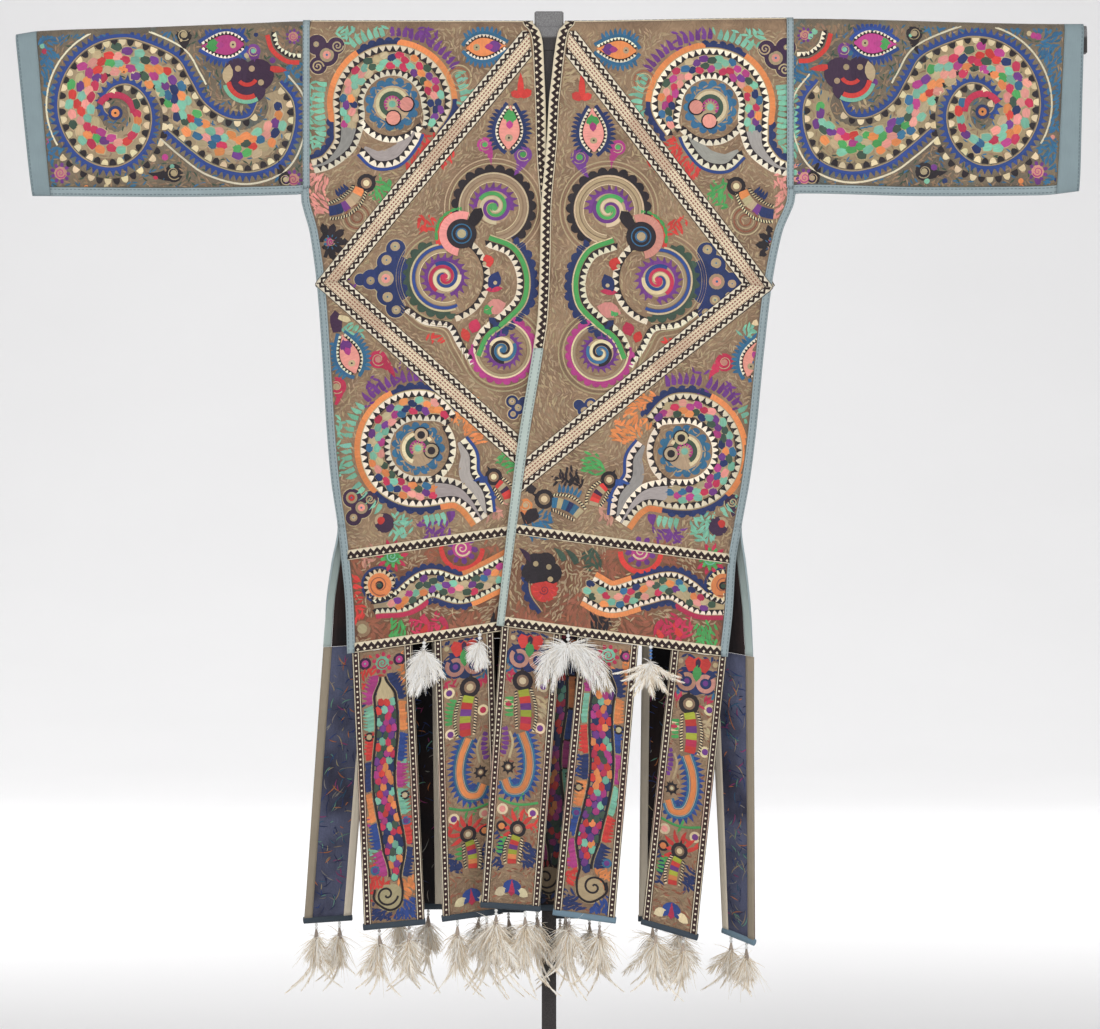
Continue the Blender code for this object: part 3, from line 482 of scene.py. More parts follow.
class Shader:
    """A material, to which nodes are added."""

    def __init__(self, name, roughness=0.8, sheen=0.0):
        self.material = bpy.data.materials.new(name)
        self.material.use_nodes = True
        self.tree = self.material.node_tree
        self.surface = self.tree.nodes["Principled BSDF"]
        for socket, value in (("Roughness", roughness), ("Sheen Weight", sheen), ("Specular IOR Level", 0.3)):
            self.set(socket, value)

    def add(self, kind, settings=None, inputs=None):
        """Adds a node, with its settings first and then its inputs, and returns its outputs."""
        node = self.tree.nodes.new(kind)
        for key, value in (settings or {}).items():
            setattr(node, key, value)
        for key, value in (inputs or {}).items():
            self.feed(node.inputs[key], value)
        return Outputs(self, node)

    def feed(self, socket, value):
        if isinstance(value, Value):
            self.tree.links.new(value.socket, socket)
        elif isinstance(value, tuple) and socket.type == "RGBA":
            socket.default_value = (*value[:3], 1.0)
        else:
            socket.default_value = value

    def set(self, name, value):
        self.feed(self.surface.inputs[name], value)

    def uv(self):
        """The UV map, and its two coordinates in metres."""
        found = self.add("ShaderNodeUVMap", {"uv_map": "UVMap"})["UV"]
        split = self.add("ShaderNodeSeparateXYZ", None, {0: found})
        return found, split["X"], split["Y"]

    def place(self):
        return self.add("ShaderNodeTexCoord")["Object"]

    def thread(self):
        """The colour that each point's thread has."""
        return self.add("ShaderNodeAttribute", {"attribute_name": "thread"})["Color"]

    def mixed(self, factor, first, second):
        return self.add("ShaderNodeMix", {"data_type": "RGBA"}, {"Factor": factor, 6: first, 7: second})[2]

    def scaled(self, vector, by):
        return self.add("ShaderNodeVectorMath", {"operation": "MULTIPLY"}, {0: vector, 1: by})[0]

    def noise(self, vector, scale, detail=2.0, stretch=None, rough=0.5):
        """Noise from 0 to 1, over coordinates that may be stretched."""
        vector = self.scaled(vector, stretch) if stretch else vector
        inputs = {"Vector": vector, "Scale": scale, "Detail": detail, "Roughness": rough}
        return self.add("ShaderNodeTexNoise", None, inputs)["Fac"]

    def shaded(self, colour, light):
        """A colour made lighter or darker by a factor."""
        grey = self.add("ShaderNodeCombineXYZ", None, {0: light, 1: light, 2: light})[0]
        return self.scaled(colour, grey)

    def finish(self, colour, height=None, distance=0.001):
        """Sets the colour and the bumps, and gives the material."""
        self.set("Base Color", colour)
        if height is not None:
            inputs = {"Height": height, "Distance": distance, "Strength": 1.0}
            self.set("Normal", self.add("ShaderNodeBump", None, inputs)["Normal"])
        return self.material


def thread_shader():
    """Silk embroidery: the thread's own colour, in fine ridges across the UV's first coordinate."""
    shader = Shader("silk_thread", sheen=0.15)
    uv, along, _ = shader.uv()
    strands = shader.noise(uv, 1.0, 2.0, stretch=(1500.0, 110.0, 1.0))
    loose = shader.noise(uv, 1.0, 2.0, stretch=(420.0, 90.0, 1.0))
    light = 0.52 + strands * 0.42 + loose * 0.42 + shader.noise(uv, 60.0, 3.0) * 0.16
    shader.set("Roughness", 0.62 - strands * 0.24)
    height = strands * 0.6 + loose * 0.6 + along.wave(0.0016) * 0.3
    return shader.finish(shader.shaded(shader.thread(), light), height, 0.0007)


def ground_shader(name, base, shade, tint, tint_share, hem=None):
    """Felted silk: fine rows of stitches that run in soft curls, redder below the hem seam."""
    shader = Shader(name, sheen=0.15)
    uv, _, drop = shader.uv()
    warp = shader.add("ShaderNodeTexNoise", None, {"Vector": uv, "Scale": 16.0, "Detail": 2.0})["Color"]
    moved = {0: warp, 1: (0.10, 0.10, 0.0), 2: uv}
    curled = shader.add("ShaderNodeVectorMath", {"operation": "MULTIPLY_ADD"}, moved)[0]
    fibres = shader.noise(curled, 1.0, 3.0, stretch=(700.0, 90.0, 1.0))
    matted = shader.noise(uv, 190.0, 4.0, rough=0.65)
    broad = shader.noise(uv, 14.0, 3.0)
    cloth = shader.mixed(broad.step(0.38, 0.66), base, shade)
    cloth = shader.mixed(shader.noise(uv, 26.0, 2.0).step(0.56, 0.70) * tint_share, cloth, tint)
    if hem:
        cloth = shader.mixed(drop.step(0.675, 0.715) * (0.35 + broad * 0.6), cloth, hem)
    rows = (shader.noise(uv, 24.0, 1.0) * 30.0).wave(1.0)
    shader.set("Roughness", 0.85 - fibres * 0.25)
    light = 0.52 + fibres * 0.46 + matted * 0.34 + rows * 0.16
    return shader.finish(shader.shaded(cloth, light), fibres * 0.6 + matted * 0.6 + rows * 0.5, 0.0011)


def cotton_shader(name, base, *seams):
    """Plain woven cotton with faint creases, and running stitches at each stated distance across."""
    shader = Shader(name, 0.9, 0.1)
    uv, along, across = shader.uv()
    weave = along.wave(0.0011) * 0.5 + across.wave(0.0011) * 0.5
    slub = shader.noise(uv, 1.0, 2.0, stretch=(60.0, 900.0, 1.0))
    worn = shader.noise(uv, 45.0, 4.0)
    colour = shader.shaded(base, 0.78 + weave * 0.10 + slub * 0.14 + worn * 0.18)
    height = weave * 0.35 + slub * 0.3 + worn * 0.5
    for seam in seams:
        stitches = (abs(across - seam) < 0.0005) * (along.part(0.0052) < 0.6)
        colour = shader.mixed(stitches * 0.55, colour, linear(70, 84, 92))
        height = height - stitches * 0.8
    return shader.finish(colour, height, 0.0009)


def woven(shader, uv, cream, dark_colour, cream_colour):
    """Finishes a braid: cream where the mask is 1, in threads of both colours."""
    fine = shader.noise(uv, 1.0, 2.0, stretch=(1200.0, 500.0, 1.0))
    worn = shader.noise(uv, 90.0, 4.0)
    colour = shader.shaded(shader.mixed(cream, dark_colour, cream_colour), 0.72 + fine * 0.3 + worn * 0.26)
    return shader.finish(colour, fine * 0.5 + cream * 0.35 + worn * 0.3, 0.0008)


def zigzag_shader():
    """The narrow braid: cream teeth from one edge, cream lozenges between them, cream edge lines."""
    shader = Shader("zigzag_braid", 0.85)
    uv, along, across = shader.uv()
    part, rise = across / FRONT_BRAID, along.wave(BRAID_PITCH)
    teeth = part > 0.50 + rise * 0.36
    lozenge = (abs(part - 0.27) * 1.5 + (1 - rise) * 0.55) < 0.25
    cream = teeth.most(lozenge).most(part < 0.085).most(part > 0.93)
    return woven(shader, uv, cream, BRAID_DARK, linear(230, 216, 188))


def diamond_shader():
    """The wide braid: two zigzag borders, and rows of red ticks on cream between them."""
    shader = Shader("diamond_braid", 0.85)
    uv, along, across = shader.uv()
    out = abs(across / DIAMOND_HALF)
    middle = out < 0.40
    rise = along.wave(BRAID_PITCH)
    zigzag = (abs((out - 0.50) / 0.36 - 0.10 - rise * 0.72) < 0.34) * (out > 0.50)
    cords = (abs(out - 0.465) < 0.038).most(abs(out - 0.98) < 0.02)
    ticks = (across.wave(0.0040) > 0.56) * (along.part(0.0044) < 0.62)
    brown_run = shader.noise(uv, 1.0, 1.0, stretch=(9.0, 1.0, 1.0)).step(0.5, 0.56)
    pale = shader.mixed(out < 0.44, linear(236, 225, 202), linear(226, 210, 180))
    pale = shader.mixed(ticks * middle * 0.95, pale, linear(132, 60, 56))
    pale = shader.mixed(brown_run * middle * 0.35, pale, linear(150, 104, 84))
    return woven(shader, uv, 1 - zigzag.most(cords), BRAID_DARK, pale)


def tape_shader():
    """The strips' side tape: a row of cream dots on dark brown, between cream lines."""
    shader = Shader("dotted_tape", 0.85)
    uv, along, across = shader.uv()
    nearest = (along.part(0.0068) - 0.5) * 0.0068
    gap = across - STRIP_TAPE / 2
    dots = (nearest * nearest + gap * gap) < 0.0013**2
    lines = (abs(gap) > 0.0030) * (abs(gap) < 0.0041)
    pink = shader.noise(uv, 1.0, 1.0, stretch=(8.0, 1.0, 1.0)).step(0.5, 0.6)
    pale = shader.mixed(pink * lines * 0.5, linear(232, 220, 194), linear(206, 150, 140))
    return woven(shader, uv, dots.most(lines), linear(62, 44, 44), pale)


def lining_shader(name, base, second):
    """Dark cotton behind the embroidery, uneven with wear."""
    shader = Shader(name, 0.9)
    uv, _, _ = shader.uv()
    fine = shader.noise(uv, 400.0, 3.0)
    ridge = shader.noise(uv, 1.0, 3.0, stretch=(160.0, 40.0, 1.0))
    cloth = shader.mixed(shader.noise(uv, 9.0, 3.0).step(0.42, 0.62), base, second)
    return shader.finish(shader.shaded(cloth, 0.55 + fine * 0.5 + ridge * 0.4), fine * 0.4 + ridge * 0.8)


def down_shader():
    """Feather down, in the colour of each barb."""
    shader = Shader("down", 0.8, 0.3)
    streaks = shader.noise(shader.uv()[0], 1.0, 2.0, stretch=(300.0, 40.0, 1.0))
    return shader.finish(shader.shaded(shader.thread(), 0.86 + streaks * 0.22))


def bead_shader():
    shader = Shader("glazed_bead", 0.25)
    return shader.finish(shader.shaded(shader.thread(), 0.88 + shader.noise(shader.place(), 300.0) * 0.2))


def stand_shader(name):
    """Powder-coated steel, dark below and with a speckled grey head."""
    shader = Shader(name, 0.5)
    place = shader.place()
    grain = shader.noise(place, 900.0, 3.0)
    speckle = grain.step(0.45, 0.62)
    grey = shader.mixed(speckle, linear(112, 111, 112), linear(142, 141, 141))
    dark = shader.mixed(speckle, linear(52, 49, 49), linear(66, 62, 61))
    up = shader.add("ShaderNodeSeparateXYZ", None, {0: place})["Z"]
    shader.set("Roughness", 0.42 + grain * 0.2 + shader.noise(place, 12.0, 3.0) * 0.12)
    colour = shader.mixed(up.step(HEAD_FOOT - 0.002, HEAD_FOOT + 0.002), dark, grey)
    return shader.finish(colour, grain, 0.0002)


HEAD_FOOT = 1.476
BRAID_PITCH = 0.0092
BRAID_DARK = linear(52, 40, 40)
THREAD = thread_shader()
BODY_SILK = ground_shader(
    "body_silk", linear(158, 131, 104), linear(134, 109, 87), linear(118, 92, 76), 0.4, linear(112, 62, 44)
)
SLEEVE_SILK = ground_shader(
    "sleeve_silk", linear(130, 116, 96), linear(108, 98, 86), linear(80, 112, 114), 0.5
)
BLUE = cotton_shader("blue_cotton", linear(160, 176, 180), 0.0022, 0.0078)
CUFF_BLUE = cotton_shader("cuff_cotton", linear(140, 157, 162), 0.0025)
PALE = cotton_shader("pale_cotton", linear(188, 201, 194), 0.0020, 0.0085)
FACING = cotton_shader("vent_facing", linear(172, 186, 182))
CREAM_EDGE = cotton_shader("cream_edge", linear(226, 214, 194))
BEIGE_EDGE = cotton_shader("beige_edge", linear(158, 146, 128))
SLATE = cotton_shader("slate_binding", linear(66, 76, 86))
LIGHT_SLATE = cotton_shader("light_slate_binding", linear(118, 142, 158))
INDIGO = lining_shader("indigo_lining", linear(90, 94, 118), linear(56, 56, 72))
BLACK = lining_shader("black_lining", linear(30, 27, 30), linear(48, 34, 32))
NARROW_BRAID = zigzag_shader()
DIAMOND_BRAID = diamond_shader()
TAPE = tape_shader()
DOWN = down_shader()
BEAD = bead_shader()

PIECES = {}
SHEETS = {}


def finish_piece(obj, slot, *nodes):
    """Lets a piece ride with the part, and stand for the CAD nodes that it shows."""
    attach(obj, "root")
    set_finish(obj, slot)
    if nodes:
        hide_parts(*nodes)
    PIECES[obj.name] = obj
    return obj


def grid_piece(name, points, uvs, materials, slot, *nodes, **how):
    """A piece made from a grid of points."""
    return finish_piece(grid_object(name, points, uvs, materials, **how), slot, *nodes)


def declare(obj, points, rests_on, with_pieces=()):
    """Notes a sheet of cloth, with the pieces that are sewn on it."""
    SHEETS[obj] = (grid_size(points), rests_on, list(with_pieces))


def sew_on(cloth, *pieces):
    SHEETS[PIECES[cloth]][2].extend(pieces)


def declare_sheets():
    for obj, ((width, length, area), rests_on, sewn_on) in SHEETS.items():
        area = min(area, width * length)


# The robe's cloth

FACES = ((FRONT, "front"), (BACK, "back"))
SIDES = ((RIGHT, "right"), (LEFT, "left"))
PANEL_SIDES = {"front_right": (RIGHT,), "front_left": (LEFT,), "back": (RIGHT, LEFT)}
SEAM = 0.0003
ROW_STEP = 0.006
WRAP_SHARES = 1 - np.cos(np.radians(np.linspace(1.0, 90, 13)[:-1]))
DOWN_SHARES = np.linspace(0, 1, 104)
SLEEVE_SHARES = np.concatenate([WRAP_SHARES - 1, np.linspace(0, 1, 38)])
SECTION = np.array([1.0, 0.8, 0.6, 0.4, 0.22, 0.1, 0.03, 0.0]) * EDGE_STRIP
STRIP_WALL = 0.0026
ARMHOLE_HEIGHT = 0.0021


def spaced(start, end, step):
    return np.linspace(start, end, max(int(round(abs(end - start) / step)) + 1, 2))


def run_along(points):
    """The distance along a path, or along the rows of a grid on average."""
    steps = np.linalg.norm(np.diff(points, axis=0), axis=-1)
    return np.concatenate([[0], np.cumsum(steps if steps.ndim == 1 else steps.mean(axis=1))])


def paired(*values):
    return np.stack(np.broadcast_arrays(*values), axis=-1)


def settled(drop, x_at, drop_at):
    """x and drop where each depends on the other, found in four rounds."""
    for _ in range(4):
        x = x_at(drop)
        drop = drop_at(x)
    return x, drop


def trim_line(name, side, drop):
    """The outer line of a front's edge trim."""
    near = FRONT_EDGES[side](drop)
    taper = ramp(0.54, 0.79, drop) * (1 if name == "front_left" else 0)
    return near + side * (FRONT_BRAID + (BINDING_FOOT - FRONT_BRAID) * taper)


def half_sheet(name, side, sections, columns=46):
    """x and drop over one half of a panel. A section has a first guess, its parts and their drops."""
    face = PANEL_FACES[name][0]

    def across(drop):
        start = drop * 0.0 if face == BACK else FRONT_EDGES[side](drop)
        edge = SIDE_EDGES[side, face](drop) - side * PANEL_EDGE
        return start + (edge - start) * np.linspace(0, 1, columns)

    rows = [
        settled(np.full(columns, guess), across, lambda x, part=part: drop_at(x, part))
        for guess, parts, drop_at in sections
        for part in parts
    ]
    return np.array(rows).swapaxes(0, 1)


def add_body():
    for name, (face, lap) in PANEL_FACES.items():
        hem_line = HEM_LINES[name]

        def wrap_drop(x, part):
            return shoulder(x) + BAR_WRAP * part

        def body_drop(x, part):
            top = shoulder(x) + BAR_WRAP
            return top + (hem_line(x) - SEAM_HEIGHT - 0.0002 - top) * part

        def hem_drop(x, part):
            return hem_line(x) - part

        hem_parts = spaced(SEAM_HEIGHT - 0.0002, 0.0, ROW_STEP)
        body = ((0.1, WRAP_SHARES, wrap_drop), (0.4, DOWN_SHARES, body_drop))
        hem = ((0.75, hem_parts, hem_drop),)
        for node, rests_on, sections in (
            (name + "_panel", "stand_frame", body),
            ("hem_panel_" + name, name + "_panel_cloth", hem),
        ):
            halves = [half_sheet(name, side, sections) for side in PANEL_SIDES[name]]
            if face == BACK:
                halves = [np.concatenate([halves[0][..., ::-1], halves[1][..., 1:]], axis=-1)]
            x, drop = halves[0]
            points = surface(x, drop, face, lap)
            cloths, uvs = (BODY_SILK, BLACK), paired(x, drop)
            made = grid_object(node + "_cloth", points, uvs, cloths, outward=(0, face, 0))
            if node == "back_panel":
                cut_neck(made)
            finish_piece(made, "body_silk", node)
            declare(made, points, [rests_on])


def cut_neck(obj):
    """Opens the notch in the back that the stand's head stands in."""
    mesh = bmesh.new()
    mesh.from_mesh(obj.data)
    foot = SHOULDER_Z - float(shoulder(0.0)) - BAR_WRAP
    middles = {face: face.calc_center_median() for face in mesh.faces}
    doomed = [face for face, middle in middles.items() if abs(middle.x) < NECK_HALF and middle.z > foot]
    bmesh.ops.delete(mesh, geom=doomed, context="FACES")
    mesh.to_mesh(obj.data)
    mesh.free()


def cuff_x(lines, side, drop):
    top, foot = lines[side]
    return top + (foot - top) * drop / sleeve_foot(foot)


def sleeve_x(side, part, drop):
    """x on a sleeve, where part runs from the cuff to the armhole."""
    armhole = SIDE_EDGES[side, FRONT](0.0) - side * (PANEL_EDGE - SEAM)
    cuff = cuff_x(CUFF_INNER, side, drop) - side * SEAM
    return cuff + (armhole - cuff) * part


def add_sleeves():
    part, share = np.meshgrid(np.linspace(0, 1, 58), SLEEVE_SHARES)

    def sleeve_drop(x):
        top, foot = shoulder(x), sleeve_foot(x) - PANEL_EDGE
        hanging = top + BAR_WRAP + share * (foot - top - BAR_WRAP)
        return np.where(share < 0, top + (1 + share) * BAR_WRAP, hanging)

    for side, label in SIDES:
        for face, face_label in FACES:
            node = f"sleeve_{label}_{face_label}"
            x, drop = settled(share * 0.2, lambda found: sleeve_x(side, part, found), sleeve_drop)
            points = surface(x, drop, face)
            made = grid_piece(
                node + "_cloth", points, paired(x, drop), (SLEEVE_SILK, BLACK), "sleeve_silk", node,
                outward=(0, face, 0),
            )
            declare(made, points, ["stand_frame"])
        add_cuff(side, label)
        add_underarm(side, label)
        add_armhole(side, label)


def add_cuff(side, label):
    shares = np.linspace(0, 1, 7)
    down = (1 - np.cos(np.linspace(0, np.pi, 34)))[:, None] / 2

    def across(drop):
        outer = cuff_x(CUFF_OUTER, side, drop)
        return outer + (cuff_x(CUFF_INNER, side, drop) - outer) * shares

    def cuff_drop(x):
        return shoulder(x) + (sleeve_foot(x) - shoulder(x)) * down

    guess = np.linspace(0, 0.22, 34)[:, None] + shares * 0
    for _ in range(3):
        guess = cuff_drop(across(guess))
    x = across(guess)
    drop = cuff_drop(x)
    points = np.concatenate([surface(x, drop, FRONT), surface(x, drop, BACK)[::-1][1:]], axis=0)
    around = np.concatenate([drop, 0.46 - drop[::-1][1:]], axis=0)
    width = (x - cuff_x(CUFF_OUTER, side, guess)) * -side
    made = grid_piece(
        f"cuff_{label}_cloth", points, paired(around, np.concatenate([width, width[::-1][1:]], axis=0)),
        (CUFF_BLUE, FACING), "blue_cotton", f"cuff_{label}",
        wall=0.0024, outward=(points - points.mean(axis=(0, 1))) * (0, 1, 1), closed=True,
    )
    declare(made, points, [f"sleeve_{label}_front_cloth"])


def add_underarm(side, label):
    """The strip from the cuff along the underarm and down the side, and the vent's two bindings."""
    edge = SIDE_EDGES[side, FRONT]
    guess = np.full(len(SECTION), 0.22)

    def strip_drop(x):
        return sleeve_foot(x) - SECTION

    rows = []
    for part in np.linspace(0, 0.97, 56):
        rows.append(settled(guess, lambda drop, part=part: sleeve_x(side, part, drop), strip_drop))
    rows.append((edge(ARMPIT) - side * SECTION, ARMPIT - SECTION))
    for drop in spaced(ARMPIT + 0.012, VENT_TOP, 0.007):
        rows.append((edge(drop) - side * SECTION, np.full(len(SECTION), drop)))
    x, drop = np.array(rows).swapaxes(0, 1)
    points = np.concatenate([surface(x, drop, FRONT), surface(x, drop, BACK)[:, ::-1][:, 1:]], axis=1)
    across = EDGE_STRIP - np.concatenate([SECTION, SECTION[::-1][1:]])
    aims = np.zeros_like(points)
    aims[:, : len(SECTION) - 1, 1] = FRONT
    aims[:, len(SECTION) :, 1] = BACK
    made = grid_piece(
        f"underarm_strip_{label}_cloth", points, paired(run_along(points[:, 0])[:, None], across),
        (BLUE, FACING), "blue_cotton", f"underarm_strip_{label}", wall=STRIP_WALL, outward=aims,
    )
    declare(made, points, [f"sleeve_{label}_front_cloth"], [add_flap(side, label, *face) for face in FACES])


def add_flap(side, label, face, face_label):
    """The binding down one edge of the side vent."""
    edge = SIDE_EDGES[side, face]
    hem_line = HEM_LINES["back" if face == BACK else f"front_{label}"]
    foot = hem_line(edge(VENT_FOOT))
    rows = []
    for drop in spaced(VENT_TOP, float(foot), ROW_STEP):
        x = edge(drop) - side * SECTION
        rows.append((x, drop + (hem_line(x) - foot) * ramp(VENT_TOP, foot, drop)))
    x, drop = np.array(rows).swapaxes(0, 1)
    return grid_piece(
        f"vent_binding_{label}_{face_label}", surface(x, drop, face), paired(drop, EDGE_STRIP - SECTION),
        (BLUE, FACING), "blue_cotton", wall=STRIP_WALL, outward=(0, face, 0),
    )


def over_top(x, degrees, height):
    """Points on the fold over the bar: degrees go from the front round the top to the back."""
    angle = np.radians(degrees)
    radius = BAR_WRAP + height
    top = SHOULDER_Z - shoulder(x) - BAR_WRAP
    return paired(x, radius * np.sin(angle), top + radius * np.cos(angle))


def add_armhole(side, label):
    """The narrow strip over the armhole seam, from the armpit over the shoulder and down the back."""
    x = SIDE_EDGES[side, FRONT](0.0) - side * PANEL_EDGE - side * np.linspace(0.0012, -0.0078, 4)
    rows = []
    for face, _ in FACES:
        grid_x, drop = np.meshgrid(x, spaced(ARMPIT - 0.006, 0.03, ROW_STEP))
        rows.append(raised(cloth_place(face), grid_x * -face, drop, np.full(drop.shape, ARMHOLE_HEIGHT)))
    over = over_top(x[None, :], np.linspace(-75, 75, 15)[:, None], ARMHOLE_HEIGHT)
    points = np.concatenate([rows[0], over, rows[1][::-1]], axis=0)
    aims = points - points.mean(axis=(0, 1))
    aims[..., 0] = 0
    grid_piece(
        f"armhole_strip_{label}_cloth", points,
        paired(run_along(points[:, 0])[:, None], np.linspace(0, 0.009, 4)),
        (BLUE,), "blue_cotton", f"armhole_strip_{label}", wall=0.0012, outward=aims,
    )


# Braids


def laid_trim(name, panel, x, drop, uvs, material, slot, *nodes):
    """A trim that lies on a panel, from a grid of places whose rows run along it."""
    face, lap = PANEL_FACES[panel]
    points = raised(cloth_place(face, lap), -face * x, drop, np.full(x.shape, TRIM_HEIGHT))
    return grid_piece(name, points, uvs, (material,), slot, *nodes, wall=TRIM_WALL, outward=(0, face, 0))


def laid_uvs(panel, x, drop, across):
    return paired(run_along(surface(x, drop, *PANEL_FACES[panel]))[:, None], across)


def add_hem_bands():
    shares = np.linspace(0, 1, 5)
    for name, (face, _) in PANEL_FACES.items():
        sides, hem_line = PANEL_SIDES[name], HEM_LINES[name]
        for band, value in (("upper", SEAM_HEIGHT + HEM_BAND / 2), ("lower", HEM_BAND)):
            ends = []
            for side, _ in SIDES:
                if side in sides:
                    middle = hem_line(0.26 * side) - value
                    ends.append(SIDE_EDGES[side, face](middle) - side * (PANEL_EDGE - SEAM))
                else:
                    middle = hem_line(0.0) - value
                    ends.append(trim_line(name, sides[0], middle + 0.006) + sides[0] * SEAM)
            x = spaced(*ends, ROW_STEP)[:, None] + shares * 0
            drop = hem_line(x) - value + HEM_BAND * shares
            if face == FRONT:
                near = trim_line(name, sides[0], drop) + sides[0] * SEAM
                x = np.minimum(x, near) if sides[0] == RIGHT else np.maximum(x, near)
                drop = hem_line(x) - value + HEM_BAND * shares
            node = f"hem_band_{band}_{name}"
            uvs = laid_uvs(name, x, drop, HEM_BAND - HEM_BAND * shares)
            laid_trim(node + "_braid", name, x, drop, uvs, NARROW_BRAID, "woven_braid", node)


def add_front_bands():
    shares = np.linspace(0, 1, 5)
    for name, side, start, end, trim in (
        ("front_right", RIGHT, 0.0, None, "front_band_right"),
        ("front_left", LEFT, 0.0, BRAID_END, "front_band_left"),
        ("front_left", LEFT, BRAID_END, None, "front_binding_left"),
    ):
        foot = float(HEM_LINES[name](FRONT_EDGES[side](0.79)))
        drops = spaced(start or 0.0125, end or foot, 0.005)
        if start == 0.0:
            drops = np.concatenate([[0.0012, 0.003, 0.0055, 0.009], drops])
        near = FRONT_EDGES[side](drops)[:, None]
        x = near + (trim_line(name, side, drops)[:, None] - near) * shares
        drop = drops[:, None] + shares * 0
        if end is None:
            drop = drop + (HEM_LINES[name](x) - foot) * ramp(0.5, foot, drop)
        if trim == "front_binding_left":
            across, look = shares * EDGE_STRIP, (PALE, "pale_cotton")
        else:
            across, look = FRONT_BRAID - shares * FRONT_BRAID, (NARROW_BRAID, "woven_braid")
        laid_trim(trim + "_trim", name, x, drop, laid_uvs(name, x, drop, across), *look, trim)


def crossing(start, direction, first, second):
    """How far along a line another line crosses it."""
    ahead, gap = second - first, first - start
    return (gap[0] * ahead[1] - gap[1] * ahead[0]) / (direction[0] * ahead[1] - direction[1] * ahead[0])


def diamond_leg(end, corner, other, cuts, shares):
    """x and drop over one leg of a wide braid, from its cut end to the mitre, and metres along."""
    end, corner, other = (np.array(place) for place in (end, corner, other))
    length = np.linalg.norm(corner - end)
    along = (corner - end) / length
    onward = (other - corner) / np.linalg.norm(other - corner)
    across = np.array((-along[1], along[0])) * DIAMOND_HALF
    lines = []
    for share in shares:
        start = end + across * share
        last = crossing(start, along, corner, corner + onward - along)
        first = max(crossing(start, along, *(np.array(place) for place in cut)) for cut in cuts)
        lines.append((start, first, last))
    steps = np.linspace(0, 1, int(length / ROW_STEP))
    runs = np.array([[first + (last - first) * t for _, first, last in lines] for t in steps])
    places = np.array([start for start, _, _ in lines])[None] + runs[..., None] * along
    return places[..., 0], places[..., 1], runs


def beside_trim(name, side, upper, lower):
    return tuple((trim_line(name, side, drop) + side * 0.0006, drop) for drop in (upper, lower))


SHOULDER_CUT = ((-1.0, 0.0145), (1.0, 0.0145))
MIDDLE_CUT = (((0.0001, 0.0), (0.0001, 1.0)),)
# band, panel, top end, corner, lower end, cuts at the top end, cuts at the lower end
DIAMONDS = (
    (
        "front_right", "front_right", (-0.0268, 0.0287), (-0.2847, 0.343), (-0.0444, 0.559),
        (SHOULDER_CUT, beside_trim("front_right", RIGHT, 0.0145, 0.06)), (((0.008, 0.0), (0.008, 1.0)),),
    ),
    (
        "front_left", "front_left", (0.0248, 0.026), (0.2716, 0.347), (-0.0405, 0.601),
        (SHOULDER_CUT, beside_trim("front_left", LEFT, 0.0145, 0.06)),
        (beside_trim("front_left", LEFT, 0.56, 0.64),),
    ),
    ("back_right", "back", (0.0, 0.040), (-0.284, 0.345), (0.0, 0.600), MIDDLE_CUT, MIDDLE_CUT),
    ("back_left", "back", (0.0, 0.040), (0.274, 0.345), (0.0, 0.600), MIDDLE_CUT, MIDDLE_CUT),
)


def add_diamonds():
    shares = np.linspace(-1, 1, 9)
    for name, panel, top, corner, foot, top_cuts, foot_cuts in DIAMONDS:
        for number, leg, start, other, cuts, nodes in (
            (0, "upper", top, foot, top_cuts, ("diamond_band_" + name,)),
            (1, "lower", foot, top, foot_cuts, ()),
        ):
            x, drop, runs = diamond_leg(start, corner, other, cuts, shares)
            uvs = paired(runs + number, shares * DIAMOND_HALF)
            laid_trim(f"diamond_{leg}_{name}", panel, x, drop, uvs, DIAMOND_BRAID, "woven_braid", *nodes)


def add_shoulder_trims():
    """The braid over each shoulder seam."""
    for side, label in SIDES:
        x = side * spaced(NECK_HALF + 0.001, 0.3115, ROW_STEP)
        points = over_top(x[:, None], np.linspace(-26, 26, 7)[None, :], 0.0018)
        uvs = paired(abs(x)[:, None], np.linspace(0, FRONT_BRAID, 7))
        grid_piece(
            f"shoulder_braid_{label}", points, uvs, (NARROW_BRAID,), "woven_braid",
            wall=0.0011, outward=(0, 0, 1),
        )


# Hanging strips


